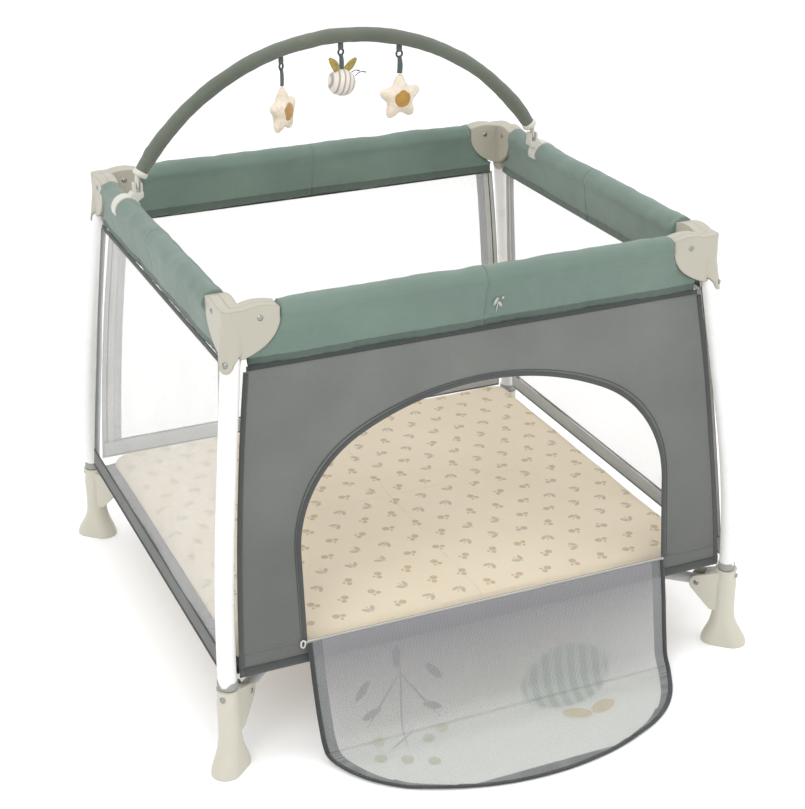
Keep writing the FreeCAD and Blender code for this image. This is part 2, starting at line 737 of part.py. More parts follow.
def door_outline(body, half, base):
    """The door's outline: a level sill, upright sides and a three-centred arch, above base."""
    haunch = "haunch_radius"
    # the crown's arc is tangent to both haunches
    reach = f"({half} - {haunch})"
    rise = "(door_crown - door_spring)"
    crown = f"(({reach} ^ 2 + {rise} ^ 2 - {haunch} ^ 2) / (2 * ({rise} - {haunch})))"
    spread = f"({reach} / ({crown} - {haunch}))"
    knee_x = f"({reach} + {haunch} * {spread})"
    knee_y = f"(door_spring - {base} + {haunch} * sqrt(1 - {spread} ^ 2))"
    turned = f"acos({spread})"
    haunch_bulge = f"{haunch} * (1 - cos({turned} / 2))"
    crown_bulge = f"{crown} * (1 - sqrt(1 - {spread} ^ 2))"
    return outline(sketch(body, "XZ"), [
        (f"-{half}", f"door_sill - {base}"),
        (half, f"door_sill - {base}"),
        (half, f"door_spring - {base}"),
        (knee_x, knee_y, f"-{haunch_bulge}"),
        (f"-{knee_x}", knee_y, f"-{crown_bulge}"),
        (f"-{half}", f"door_spring - {base}", f"-{haunch_bulge}"),
    ])


def floor_piece(label, inset, low, thick, rounding):
    """A flat rounded rectangle on the floor of the pen."""
    body = new_body(label)
    face = box_outline(sketch(body, "XY"), f"-(low_x - {inset})", f"low_x - {inset}",
                       f"-(low_y - {inset})", f"low_y - {inset}")
    pad(body, face, thick, both=False)
    fillet(body, rounding, lambda edge: edge.BoundBox.ZLength > number(thick) - 0.1)
    place(body, z=low)
    return body


FLAP_UPPER = "((door_sill - flap_bend_height) / cos(flap_slope))"


def flap_upper():
    """The half of the door flap that hangs from the sill; its own Z runs down the flap."""
    body = new_body("door_flap_upper")
    face = box_outline(sketch(body, "XZ"), "-flap_half", "flap_half",
                       f"-({FLAP_UPPER} - hang_gap)", "-hang_gap")
    pad(body, face, "flap_thick")
    tilt = Rotation(Vector(1, 0, 0), -number("flap_slope"))
    place(body, y=f"-{sill_line()}", z="door_sill", tilt=tilt)
    return body


def sill_line():
    """How far in front of the frame's middle the flap's hinge line is."""
    return ("(low_y - leg_lean * post_y / diagonal * (door_sill - panel_low)"
            " / (leg_top - leg_low) + flap_stand)")


def flap_lower():
    """The half of the door flap that lies on the floor, with the arch's outline at its end."""
    body = new_body("door_flap_lower")
    shift = f"(door_sill + {FLAP_UPPER})"
    profile = door_outline(body, "flap_half", shift)
    pad(body, profile, "flap_thick")
    above = box_outline(sketch(body, "XZ"), "-500", "500", "-500", "hang_gap")
    pocket(body, above, "50")
    place(body, y=f"-({sill_line()} + {FLAP_UPPER} * sin(flap_slope))",
          z="flap_bend_height", tilt=Rotation(Vector(1, 0, 0), 90))
    return body


def toy_bar():
    """The padded arch over the pen, with a flat tab at each end for its clip."""
    body = new_body("toy_bar")
    profile = circle(sketch(body, "YZ"), "0", "bar_arc", "bar_radius")
    arch = body.newObject("PartDesign::Revolution", "arch")
    arch.Profile = profile
    arch.ReferenceAxis = (profile, ["H_Axis"])
    arch.Midplane = True
    arch.setExpression("Angle", bound("2 * bar_half_angle"))
    pivot_x = "(post_x - clip_pivot_in)"
    pivot_z = "(rail_height + clip_pivot_up - (bar_crown - bar_arc))"
    for way in ("1", "-1"):
        tab = outline(sketch(body, "XZ"), [
            (f"{way} * ({pivot_x} - tab_half)", f"{pivot_z} - 5"),
            (f"{way} * ({pivot_x} + tab_half)", f"{pivot_z} - 5"),
            (f"{way} * ({pivot_x} + tab_half)", f"{pivot_z} + 26"),
            (f"{way} * ({pivot_x} - tab_half)", f"{pivot_z} + 26"),
        ])
        pad(body, tab, "14")
    hole = circle(sketch(body, "YZ"), "0", pivot_z, "pin_radius + pin_play")
    pocket(body, hole, "4 * post_x")
    place(body, y="bar_y", z="bar_crown - bar_arc")
    return body


def toy_clip(side):
    """A clip that grips a rail's cover from above, with a fork for the toy bar."""
    way = 1 if side == "left" else -1
    body = new_body(f"toy_clip_{side}")
    inner, outer = "(cover_radius + 0.4)", "(cover_radius + 0.4 + clip_wall)"
    ring = sketch(body, "XZ")
    low = "0.3"
    flat = f"sqrt(1 - {low} ^ 2)"
    outline(ring, [
        (f"{outer} * {flat}", f"-{outer} * {low}"),
        (f"-{outer} * {flat}", f"-{outer} * {low}", f"-{outer} * (1 + {low})"),
        (f"-{inner} * {flat}", f"-{inner} * {low}"),
        (f"{inner} * {flat}", f"-{inner} * {low}", f"{inner} * (1 + {low})"),
    ])
    pad(body, ring, "clip_wide")
    fork = "(tab_half + 0.4)"
    foot_block = outline(sketch(body, "XZ"), [
        ("6", "22.6"), ("19", "12"), (f"clip_pivot_in + {fork} + 4", "20"),
        (f"clip_pivot_in + {fork} + 4", "28"), ("12", "29"),
    ])
    pad(body, foot_block, "clip_wide - 6")
    for near in (f"clip_pivot_in - {fork} - 3.5", f"clip_pivot_in + {fork}"):
        cheek = box_outline(sketch(body, "XZ"), near, f"{near} + 3.5", "20", "clip_pivot_up + 7")
        pad(body, cheek, "16")
    pin = circle(sketch(body, "YZ", f"clip_pivot_in - {fork} - 3"), "0", "clip_pivot_up", "pin_radius")
    pad(body, pin, f"2 * {fork} + 6", both=False)
    place(body, f"-{way} * post_x", "bar_y", "rail_height", 0 if way == 1 else 180)
    return body


def hanging_loop(body, drop, slope=0):
    """The loop round the sloping bar and the strap down to a toy; the bar's axis is the origin."""
    hole = "(bar_radius + 1)"
    loop = sketch(body, "YZ", nod=slope)
    circle(loop, "0", "0", f"{hole} + strap_thick")
    circle(loop, "0", "0", hole)
    pad(body, loop, "strap_wide")
    strap = box_outline(sketch(body, "XZ"), "-strap_wide / 2", "strap_wide / 2", f"-({drop})",
                        f"-{hole} - 1.9")
    pad(body, strap, "strap_thick")


def bar_height(x):
    return f"(bar_crown - bar_arc + sqrt(bar_arc ^ 2 - ({x}) ^ 2))"


def star(side):
    """A stuffed five-pointed star on its strap."""
    way = -1 if side == "left" else 1
    body = new_body(f"toy_star_{side}")
    slope = math.degrees(math.asin(number("star_side / bar_arc")))
    hanging_loop(body, "star_drop - star_notch + 4", way * slope)
    face = sketch(body, "XZ")
    points = []
    for n in range(10):
        radius = "star_notch" if n % 2 else "star_tip"
        points.append((f"{radius} * sin({36 * n})", f"-star_drop + {radius} * cos({36 * n})"))
    outline(face, points)
    pad(body, face, "toy_thick")
    place(body, f"{way} * star_side", "bar_y", bar_height("star_side"))
    return body


def bee():
    """A stuffed striped bee: a round body with two wings."""
    body = new_body("toy_bee")
    hanging_loop(body, "bee_drop - bee_radius + 4")
    ball = body.newObject("PartDesign::AdditiveSphere", "ball")
    ball.setExpression("Radius", bound("bee_radius"))
    ball.setExpression("AttachmentOffset.Base.z", bound("-bee_drop"))
    ball.AttachmentSupport = [(origin_plane(body, "XY"), "")]
    ball.MapMode = "FlatFace"
    wings = sketch(body, "XZ")
    for way in ("1", "-1"):
        outline(wings, [
            (f"{way} * 4", "-bee_drop + bee_radius - 6"),
            (f"{way} * 30", "-bee_drop + bee_radius + 14"),
            (f"{way} * 36", "-bee_drop + bee_radius + 4"),
            (f"{way} * 20", "-bee_drop + bee_radius - 14"),
        ])
    pad(body, wings, "5")
    place(body, "0", "bar_y", "bar_crown")
    return body


def build():
    made = []
    for corner in CORNERS:
        made += [leg_tube(corner), foot(corner), corner_housing(corner), fasteners(corner),
                 strut(corner)]
    made += [hub(), hub_cap()]
    for name in HALVES:
        made += [half_rail(name), rail_cover(name)]
    for side in SIDES:
        made += [lock(side), lock_button(side), wall(side)]
    made += [
        floor_piece("floor_sheet", "floor_inset", "floor_low", "floor_thick", "mat_round"),
        floor_piece("mat", "mat_inset", "mat_low", "mat_thick", "mat_round"),
        flap_upper(),
        flap_lower(),
        toy_bar(),
        toy_clip("left"),
        toy_clip("right"),
        star("left"),
        bee(),
        star("right"),
    ]
    doc.recompute()
    return made


def check(made):
    """Stops if anything in the document failed or a sub-part's shape is unsound."""
    bad = [f"{o.Label}: {o.State}" for o in doc.Objects if {"Invalid", "Error"} & set(o.State)]
    bad += [f"{o.Label}: null or invalid shape" for o in made
            if o.Shape.isNull() or not o.Shape.isValid() or not o.Shape.Solids]
    if bad:
        raise SystemExit("\n".join(bad))


def export(made):
    os.makedirs("parts", exist_ok=True)
    box = FreeCAD.BoundBox()
    for piece in made:
        piece.Shape.exportStep(f"parts/{piece.Label}.step")
        box.add(piece.Shape.BoundBox)
    print(len(made), "sub-parts", box)


pieces = build()
check(pieces)
export(pieces)
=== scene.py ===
import json
import math

import bmesh
import bpy
import numpy as np
from mathutils import Matrix, Vector, noise


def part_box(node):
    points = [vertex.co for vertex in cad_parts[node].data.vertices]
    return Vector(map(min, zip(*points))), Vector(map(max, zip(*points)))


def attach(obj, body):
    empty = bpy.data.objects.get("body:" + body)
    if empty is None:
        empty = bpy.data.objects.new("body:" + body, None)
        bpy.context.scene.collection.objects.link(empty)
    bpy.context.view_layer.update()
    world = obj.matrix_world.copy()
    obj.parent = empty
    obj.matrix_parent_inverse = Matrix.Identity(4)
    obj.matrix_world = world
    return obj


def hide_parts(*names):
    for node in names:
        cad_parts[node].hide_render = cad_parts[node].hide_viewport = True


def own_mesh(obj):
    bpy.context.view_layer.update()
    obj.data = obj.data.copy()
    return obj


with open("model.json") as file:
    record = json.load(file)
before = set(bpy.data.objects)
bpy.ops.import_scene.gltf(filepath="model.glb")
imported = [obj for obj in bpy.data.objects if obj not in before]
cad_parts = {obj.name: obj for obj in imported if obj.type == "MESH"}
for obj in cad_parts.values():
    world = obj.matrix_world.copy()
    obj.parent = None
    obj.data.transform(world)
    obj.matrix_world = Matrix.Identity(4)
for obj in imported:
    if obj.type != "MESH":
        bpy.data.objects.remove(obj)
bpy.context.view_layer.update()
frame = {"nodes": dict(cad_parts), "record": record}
NODES = frame["nodes"]
BODY = {n: b for b, ns in frame["record"]["behaviour"]["bodies"].items() for n in ns}
SHIFT = 0.09824                 # the hub stands this far behind the origin
POST_X, POST_Y = 0.42, 0.392    # from the hub to the corner posts
RAIL = 0.765                    # height of the rails' centre lines
HUB = Vector((0, SHIFT, 0))
CORNERS = {"front_left": (-1, -1), "front_right": (1, -1), "back_right": (1, 1),
           "back_left": (-1, 1)}


# ---------------------------------------------------------------- materials

class Paint:
    """A procedural material, built around one Principled shader."""

    def __init__(self, name, rough=0.6, **values):
        self.material = bpy.data.materials.new(name)
        self.material.use_nodes = True
        self.tree = self.material.node_tree
        self.shader = self.tree.nodes["Principled BSDF"]
        self.set(Roughness=rough, **values)
        coords = self.tree.nodes.new("ShaderNodeTexCoord")
        self.place, self.flat = coords.outputs["Object"], coords.outputs["UV"]

    def feed(self, node, **values):
        """Links or sets a node's inputs, by name or, as i0, i1 and so on, by number."""
        for key, value in values.items():
            where = int(key[1:]) if key[0] == "i" and key[1:].isdigit() else key.replace("_", " ")
            socket = node.inputs[where]
            if isinstance(value, bpy.types.NodeSocket):
                self.tree.links.new(value, socket)
            else:
                socket.default_value = value

    def set(self, **values):
        self.feed(self.shader, **values)

    def node(self, kind, out=0, settings=(), **values):
        node = self.tree.nodes.new("ShaderNode" + kind)
        for key, value in dict(settings).items():
            setattr(node, key, value)
        self.feed(node, **values)
        return node.outputs[out]

    def math(self, what, *values, clamp=False):
        return self.node("Math", 0, {"operation": what, "use_clamp": clamp},
                         **{f"i{i}": value for i, value in enumerate(values)})

    def add(self, a, b):
        return self.math("ADD", a, b)

    def mul(self, a, b):
        return self.math("MULTIPLY", a, b)

    def mad(self, a, b, c, clamp=False):
        return self.math("MULTIPLY_ADD", a, b, c, clamp=clamp)

    def most(self, first, *others):
        for other in others:
            first = self.math("MAXIMUM", first, other)
        return first

    def mix(self, share, a, b):
        return self.node("Mix", 2, {"data_type": "RGBA"}, i0=share, i6=a, i7=b)

    def axes(self, source=None):
        node = self.tree.nodes.new("ShaderNodeSeparateXYZ")
        self.feed(node, Vector=source or self.place)
        return node.outputs

    def cloud(self, scale, detail=3):
        return self.node("TexNoise", 0, Vector=self.place, Scale=scale, Detail=detail)

    def wave(self, value, pitch, phase=0.0):
        return self.math("SINE", self.mad(value, 2 * math.pi / pitch, phase))

    def knit(self, across, up, wide, tall):
        """Round holes in staggered rows."""
        rows = self.add(self.wave(across, wide), self.wave(up, tall))
        holes = self.mul(self.wave(across, wide, 1.2), self.wave(up, tall, 0.4))
        return self.mad(holes, 0.6, rows)

    def span(self, value, low, high, to_low=0.0, to_high=1.0):
        return self.node("MapRange", 0, Value=value, From_Min=low, From_Max=high,
                         To_Min=to_low, To_Max=to_high)

    def oval(self, u, v, cx, cy, rx, ry, lean=0.0):
        """1 inside an oval of the flat cut, 0 outside it, with a slightly soft edge."""
        x, y = self.math("SUBTRACT", u, cx), self.math("SUBTRACT", v, cy)
        c, s = math.cos(math.radians(lean)), math.sin(math.radians(lean))
        along = self.mad(x, c / rx, self.mul(y, s / rx))
        over = self.mad(y, c / ry, self.mul(x, -s / ry))
        return self.span(self.add(self.mul(along, along), self.mul(over, over)), 1.12, 0.88)

    def coat(self, colour, height, depth, **normal):
        """Sets the colour and the bump, and gives the finished material."""
        bump = self.node("Bump", 0, Height=height, Distance=depth, Strength=1.0, **normal)
        self.set(Base_Color=colour, Normal=bump)
        return self.material


def rgb(r, g, b):
    """A colour given as it looks, 0 to 255, as linear light."""
    return tuple((c / 255 / 12.92) if c < 11 else ((c / 255 + 0.055) / 1.055) ** 2.4
                 for c in (r, g, b)) + (1.0,)


def darker(colour, share):
    return tuple(c * share for c in colour[:3]) + (1.0,)


def cloth(name, colour, deep, pitch=0.0016, level=False, rough=0.85, painted_shade=None):
    """Woven polyester: a fine plain weave, slow shading changes and a little sheen."""
    p = Paint(name, rough, Sheen_Weight=0.25, Sheen_Roughness=0.45, Specular_IOR_Level=0.4)
    x, y, z = p.axes()
    across, up = (x, y) if level else (p.add(x, y), z)
    weave = p.mul(p.wave(across, pitch), p.wave(up, pitch))
    slow, fibre = p.cloud(7.0, 4), p.cloud(420.0, 2)
    share = p.mad(slow, 0.9, p.mad(weave, 0.16, p.mul(fibre, 0.35)))
    shade = p.mix(p.span(share, 0.3, 1.0), deep, colour)
    if painted_shade:                        # painted shade: the cloth is darker towards the bottom
        low, high, least = painted_shade
        shade = p.mix(p.span(z, low, high, 0.55, 0.0), shade, darker(deep, least ** 2))
    return p.coat(shade, p.add(weave, fibre), 0.00022)


def net(name, colour, pitch, thin, thick):
    """Knitted mesh, more or less see-through."""
    p = Paint(name, 0.8, Sheen_Weight=0.2, Specular_IOR_Level=0.25)
    x, y, z = p.axes()
    knit = p.knit(p.add(x, y), z, pitch, pitch * 0.8)
    p.set(Alpha=p.span(knit, -1.2, 1.4, thin, thick))
    shade = p.mix(p.mad(knit, 0.15, p.cloud(9.0, 2)), darker(colour, 0.78), colour)
    return p.coat(shade, knit, 0.0002)


def moulded(name, colour, rough=0.42, edge=0.0016):
    """Moulded plastic: rounded edges, a fine grain and slow changes of gloss."""
    p = Paint(name, rough, Specular_IOR_Level=0.45)
    soft = p.node("Bevel", 0, {"samples": 6}, Radius=edge)
    slow = p.cloud(14.0, 3)
    p.set(Roughness=p.span(slow, 0.3, 0.7, rough - 0.05, rough + 0.08))
    return p.coat(p.mix(slow, darker(colour, 0.9), colour), p.cloud(900.0, 2), 0.00006,
                  Normal=soft)


def painted(name, colour, rough=0.3, metal=0.0):
    """Painted or bare metal, with a faint orange peel."""
    p = Paint(name, rough, Metallic=metal, Coat_Weight=0.0 if metal else 0.15)
    slow = p.cloud(30.0, 3)
    p.set(Roughness=p.span(slow, 0.3, 0.7, rough - 0.04, rough + 0.08))
    return p.coat(p.mix(slow, darker(colour, 0.93), colour), p.cloud(260.0, 2), 0.00003)


def plush(name, colour, deep):
    """Short pile in small tufts."""
    p = Paint(name, 0.95, Sheen_Weight=0.5, Sheen_Roughness=0.5, Specular_IOR_Level=0.1)
    pile = p.add(p.cloud(900.0, 4), p.cloud(120.0, 3))
    return p.coat(p.mix(p.span(pile, 0.7, 1.2), deep, colour), pile, 0.0006)


cover_cloth = cloth("cover_cloth", rgb(119, 140, 129), rgb(95, 115, 105), rough=0.62)
hem_cloth = cloth("hem_cloth", rgb(92, 108, 99), rgb(74, 89, 82))
# the panel's cloth, also used on the walls' outer bands, has painted shade that darkens it towards
# its foot
panel_cloth = cloth("panel_cloth", rgb(124, 126, 122), rgb(100, 102, 99), pitch=0.0019,
                    painted_shade=(0.16, 0.66, 0.78))
binding_cloth = cloth("binding_cloth", rgb(80, 84, 82), rgb(62, 66, 64), pitch=0.0012)
piping_cloth = cloth("piping_cloth", rgb(66, 72, 70), rgb(50, 55, 54), pitch=0.001)
pale_cloth = cloth("pale_cloth", rgb(214, 214, 208), rgb(188, 188, 184), pitch=0.0012)
floor_cloth = cloth("floor_cloth", rgb(112, 114, 113), rgb(92, 94, 94), level=True)
webbing = cloth("webbing", rgb(98, 110, 103), rgb(74, 86, 80), pitch=0.0011)
bar_cloth = cloth("bar_cloth", rgb(114, 120, 107), rgb(88, 95, 84), pitch=0.0013)
wall_net = net("wall_net", rgb(253, 253, 252), 0.0030, 0.04, 0.42)
strip_net = net("strip_net", rgb(178, 180, 180), 0.0034, 0.30, 0.85)
edge_net = net("edge_net", rgb(140, 143, 143), 0.0026, 0.45, 0.95)
housing_plastic = moulded("housing_plastic", rgb(177, 173, 159), 0.36, edge=0.0042)
foot_plastic = moulded("foot_plastic", rgb(196, 193, 179))
grey_plastic = moulded("grey_plastic", rgb(176, 178, 178), 0.4)
collar_plastic = moulded("collar_plastic", rgb(150, 150, 146), 0.5, edge=0.0008)
pale_plastic = moulded("pale_plastic", rgb(204, 202, 192), 0.38, edge=0.001)
dark_plastic = moulded("dark_plastic", rgb(58, 60, 60), 0.4, edge=0.0006)
white_tube = painted("white_tube", rgb(229, 229, 227), 0.28)
silver_tube = painted("silver_tube", rgb(196, 197, 197), 0.35)
bright_steel = painted("bright_steel", rgb(150, 150, 147), 0.28, 0.95)
cream_plush = plush("cream_plush", rgb(236, 225, 208), rgb(210, 196, 178))
ochre_felt = plush("ochre_felt", rgb(188, 146, 74), rgb(164, 120, 54))
wing_felt = plush("wing_felt", rgb(176, 150, 78), rgb(126, 124, 66))


def striped_plush():
    p = Paint("striped_plush", 0.95, Sheen_Weight=0.5, Sheen_Roughness=0.5,
              Specular_IOR_Level=0.1)
    x, _, z = p.axes()
    stripe = p.span(p.wave(p.mad(z, -0.25, x), 0.0105, 1.1), 0.35, 0.75)
    fur = p.cloud(800.0, 4)
    base = p.mix(fur, rgb(214, 202, 192), rgb(238, 230, 220))
    return p.coat(p.mix(stripe, base, rgb(166, 162, 158)), fur, 0.0006)


def printed_mat():
    """Puffy cotton print: small leaf and bead motifs in staggered rows on cream."""
    p = Paint("printed_mat", 0.9, Sheen_Weight=0.2, Specular_IOR_Level=0.2)
    x, y, _ = p.axes()
    wide, deep, scale = 0.056, 0.050, 1.6       # one cell of the print, and its motif's size
    row = p.math("DIVIDE", y, deep)
    odd = p.math("FLOORED_MODULO", p.math("FLOOR", row), 2.0)
    column = p.add(p.math("DIVIDE", x, wide), p.mul(odd, 0.5))
    chance = p.tree.nodes.new("ShaderNodeTexWhiteNoise")
    p.feed(chance, Vector=p.node("CombineXYZ", 0, X=p.math("FLOOR", column),
                                 Y=p.math("FLOOR", row)))
    pick, tint = chance.outputs["Value"], chance.outputs["Color"]
    u, v = [p.math("DIVIDE", p.mul(p.math("SUBTRACT", p.math("FRACT", cell), 0.5), size), scale)
            for cell, size in ((column, wide), (row, deep))]
    u, v, _ = p.axes(p.node("VectorRotate", 0, {"rotation_type": "Z_AXIS"},
                            Vector=p.node("CombineXYZ", 0, X=u, Y=v), Angle=p.mul(pick, 6.283)))
    leaves = p.most(p.oval(u, v, -0.0042, 0.001, 0.0024, 0.0052, 28),
                    p.oval(u, v, 0.0042, 0.001, 0.0024, 0.0052, -28),
                    p.oval(u, v, 0, 0.0005, 0.0007, 0.0078))
    beads = p.most(p.oval(u, v, -0.0032, 0, 0.0042, 0.0042),
                   p.oval(u, v, 0.0042, 0.0022, 0.0030, 0.0030),
                   p.oval(u, v, 0.0035, -0.004, 0.0018, 0.0018))
    leafy = p.math("GREATER_THAN", pick, 0.55)
    motif = p.add(p.mul(leaves, leafy), p.mul(beads, p.math("SUBTRACT", 1.0, leafy)))
    red, _, _ = p.axes(tint)
    ink = p.mix(p.math("GREATER_THAN", red, 0.5), rgb(206, 182, 144), rgb(198, 186, 158))
    ground = p.mix(p.mad(p.cloud(500.0, 2), 0.3, p.cloud(5.0, 3)), rgb(238, 220, 192),
                   rgb(249, 235, 210))
    weave = p.mul(p.wave(x, 0.0015), p.wave(y, 0.0015))
    return p.coat(p.mix(p.mul(motif, 0.85), ground, ink), p.mad(p.cloud(60.0, 3), 3.0, weave),
                  0.0004)


def printed_net():
    """The door's mesh: grey, clearer towards its free end, with a plain garden print, and painted
    shade: darker by the sill, lighter out on the floor.
    """
    p = Paint("printed_net", 0.8, Sheen_Weight=0.2, Specular_IOR_Level=0.2)
    u, v, _ = p.axes(p.flat)
    knit = p.knit(u, v, 0.0026, 0.0024)

    def ovals(shapes):
        return p.most(*[p.oval(u, v, *shape) for shape in shapes])

    leaves = ((-0.250, 0.105, 0.013, 40), (-0.238, 0.150, 0.012, 70), (-0.120, 0.100, 0.013, -40),
              (-0.128, 0.160, 0.012, -65), (-0.184, 0.060, 0.013, 5))
    stem = ovals([(-0.185, 0.155, 0.0016, 0.085, 4), (-0.215, 0.13, 0.0016, 0.055, 38),
                  (-0.150, 0.135, 0.0016, 0.060, -34), (-0.195, 0.215, 0.0016, 0.030, 60)]
                 + [(x, y, size * 0.55, size * 1.5, lean) for x, y, size, lean in leaves])
    berry = ovals((x, y, 0.011, 0.011) for x, y in (
        (-0.235, 0.205), (-0.205, 0.265), (-0.150, 0.225), (-0.120, 0.210), (-0.165, 0.285),
        (-0.245, 0.245)))
    body = ovals([(0.125, 0.175, 0.085, 0.062, -8)])
    ochre = ovals([(0.115, 0.262, 0.026, 0.014, 25), (0.165, 0.262, 0.026, 0.014, -20)])
    bands = p.span(p.wave(u, 0.024), 0.0, 0.3)
    # painted shade: dark grey where the mesh hangs by the sill, lighter where it lies on the floor
    shade = p.mix(p.span(v, 0.03, 0.26), rgb(146, 145, 148), rgb(218, 220, 215))
    for share, ink in ((p.mul(body, p.mad(bands, -0.28, 0.62)), rgb(150, 160, 154)),
                       (p.mul(stem, 0.45), rgb(116, 122, 130)),
                       (p.mul(berry, 0.5), rgb(172, 172, 146)),
                       (p.mul(ochre, 0.6), rgb(196, 180, 138))):
        shade = p.mix(share, shade, ink)
    clear = p.add(p.span(knit, -1.2, 1.2, 0.28, 0.84), p.span(v, 0.0, 0.11, 0.34, 0.0))
    p.set(Alpha=p.mad(p.most(body, stem, berry, ochre), 0.12, clear, clamp=True))
    return p.coat(shade, knit, 0.0002)


bee_plush, mat_print, flap_net = striped_plush(), printed_mat(), printed_net()


# ---------------------------------------------------------------- mesh helpers

def link(name, data):
    made = bpy.data.objects.new(name, data)
    bpy.context.scene.collection.objects.link(made)
    return made


def build(name, points, faces, materials, kinds=None, flat=None, thick=0.0, smooth=True,
          lining=0):
    """An object from points and faces; kinds picks materials, flat is the cloth's flat cut."""
    mesh = bpy.data.meshes.new(name)
    mesh.from_pydata([tuple(p) for p in points], [], faces)
    for m in materials:
        mesh.materials.append(m)
    if kinds is not None:
        mesh.polygons.foreach_set("material_index", kinds)
    mesh.polygons.foreach_set("use_smooth", [smooth] * len(faces))
    if flat is not None:
        layer = mesh.uv_layers.new(name="flat")
        for loop in mesh.loops:
            layer.data[loop.index].uv = flat[loop.vertex_index]
    mesh.update()
    made = link(name, mesh)
    if thick:
        solid = made.modifiers.new("thick", "SOLIDIFY")
        solid.thickness, solid.offset, solid.material_offset = thick, 0.0, lining
        settle(made)
    return made


def settle(made):
    """Applies the piece's modifiers to its mesh."""
    graph = bpy.context.evaluated_depsgraph_get()
    graph.update()
    mesh = bpy.data.meshes.new_from_object(made.evaluated_get(graph))
    made.modifiers.clear()
    made.data = mesh
    return made


def skin(rows, wrap=False, ends=False):
    """Points and quads over rows of equally many points."""
    n = len(rows[0])
    points = [p for row in rows for p in row]
    faces = []
    for i in range(len(rows) - 1):
        for j in range(n if wrap else n - 1):
            k = (j + 1) % n
            faces.append((i * n + j, i * n + k, (i + 1) * n + k, (i + 1) * n + j))
    if ends:
        last = (len(rows) - 1) * n
        faces.append(tuple(range(n - 1, -1, -1)))
        faces.append(tuple(last + j for j in range(n)))
    return points, faces


def ring_of(count):
    """Angles evenly round a circle."""
    return [2 * math.pi * k / count for k in range(count)]


def tube(name, path, radii, material, sides=14, closed=False, up=(0, 0, 1)):
    """A round or oval tube along a path; radii is one number, a pair or a list of them."""
    path = [Vector(p) for p in path]
    n = len(path)
    rows = []
    for i, p in enumerate(path):
        a = path[i - 1] if (i or closed) else p
        b = path[(i + 1) % n] if (i < n - 1 or closed) else p
        ahead = (b - a).normalized()
        side = ahead.cross(Vector(up))
        side = side.normalized() if side.length > 1e-6 else Vector((1, 0, 0))
        top = side.cross(ahead).normalized()
        size = radii[i] if isinstance(radii, list) else radii
        w, h = size if isinstance(size, tuple) else (size, size)
        rows.append([p + side * w * math.cos(t) + top * h * math.sin(t)
                     for t in ring_of(sides)])
    if closed:
        rows.append(rows[0])
    points, faces = skin(rows, wrap=True, ends=not closed)
    made = build(name, points, faces, [material])
    return weld(made) if closed else made


def weld(made, near=1e-5):
    bm = bmesh.new()
    bm.from_mesh(made.data)
    bmesh.ops.remove_doubles(bm, verts=bm.verts, dist=near)
    bm.to_mesh(made.data)
    bm.free()
    return made


def rough(p, size, depth):
    return noise.noise(Vector(p) / size) * depth


def puff(made, voxel, cap, pressure):
    """Swells a closed piece as stuffed cloth; no point moves further than cap."""
    scene = bpy.context.scene
    remesh = made.modifiers.new("cloth_grid", "REMESH")
    remesh.mode, remesh.voxel_size = "VOXEL", voxel
    settle(made)
    start = np.array([v.co for v in made.data.vertices])
    soft = made.modifiers.new("cloth", "CLOTH")
    soft.settings.use_pressure = True
    soft.settings.uniform_pressure_force = pressure
    soft.settings.effector_weights.gravity = 0.0
    soft.settings.quality = 4
    for number in range(1, 21):
        scene.frame_set(number)
    settle(made)
    move = np.array([v.co for v in made.data.vertices]) - start
    length = np.linalg.norm(move, axis=1, keepdims=True)
    move *= np.minimum(1.0, cap / np.maximum(length, 1e-9))
    for v, p in zip(made.data.vertices, start + move):
        v.co = p
    scene.frame_set(1)
    for polygon in made.data.polygons:
        polygon.use_smooth = True
    made.modifiers.new("fine", "SUBSURF").levels = 1
    return settle(made)


def rim(node, way):
    """The outlines of a thin CAD node's face that looks along way, longest first."""
    mesh = NODES[node].data
    way = Vector(way).normalized()
    key = [tuple(round(c, 5) for c in v.co) for v in mesh.vertices]
    count = {}
    for polygon in mesh.polygons:
        if polygon.normal.dot(way) > 0.8:
            ring = list(polygon.vertices)
            for a, b in zip(ring, ring[1:] + ring[:1]):
                if key[a] != key[b]:
                    count[(key[a], key[b])] = 1
    following = {}
    for a, b in count:
        if (b, a) not in count:
            following.setdefault(a, []).append(b)
    loops = []
    while following:
        start = next(iter(following))
        loop, at = [start], following[start].pop()
        if not following[start]:
            del following[start]
        while at != start and at in following:
            loop.append(at)
            after = following[at].pop()
            if not following[at]:
                del following[at]
            at = after
        loops.append([Vector(p) for p in loop])
    return sorted(loops, key=lambda l: -sum((a - b).length for a, b in zip(l, l[1:])))


def cross(loop, level, along, up=2):
    """The lowest and highest place along one axis where an outline crosses a level of another."""
    found = []
    for a, b in zip(loop, loop[1:] + loop[:1]):
        if (a[up] - level) * (b[up] - level) <= 0 and abs(a[up] - b[up]) > 1e-9:
            t = (level - a[up]) / (b[up] - a[up])
            found.append(a[along] + (b[along] - a[along]) * t)
    return (min(found), max(found)) if found else (0.0, 0.0)


def lean_of(loop, out):
    """How a nearly flat outline's distance along out changes with its height."""
    a = np.array([[1.0, p.z] for p in loop])
    b = np.array([p[out] for p in loop])
    base, slope = np.linalg.lstsq(a, b, rcond=None)[0]
    return lambda level: base + slope * level


def level_line(loop, level, along, shares, off, height=None):
    """Points across an upright outline at one level; off is their place on the third axis."""
    a, b = cross(loop, level, along)
    path = []
    for t in shares:
        p = Vector((0, 0, level if height is None else height))
        p[along], p[1 - along] = a + (b - a) * t, off
        path.append(p)
    return path


def resample(loop, count):
    """Evenly spaced points along an open line."""
    steps = [0.0]
    for a, b in zip(loop, loop[1:]):
        steps.append(steps[-1] + (b - a).length)
    spots = np.linspace(0, steps[-1], count)
    return [Vector([float(np.interp(s, steps, [p[i] for p in loop])) for i in range(3)])
            for s in spots]


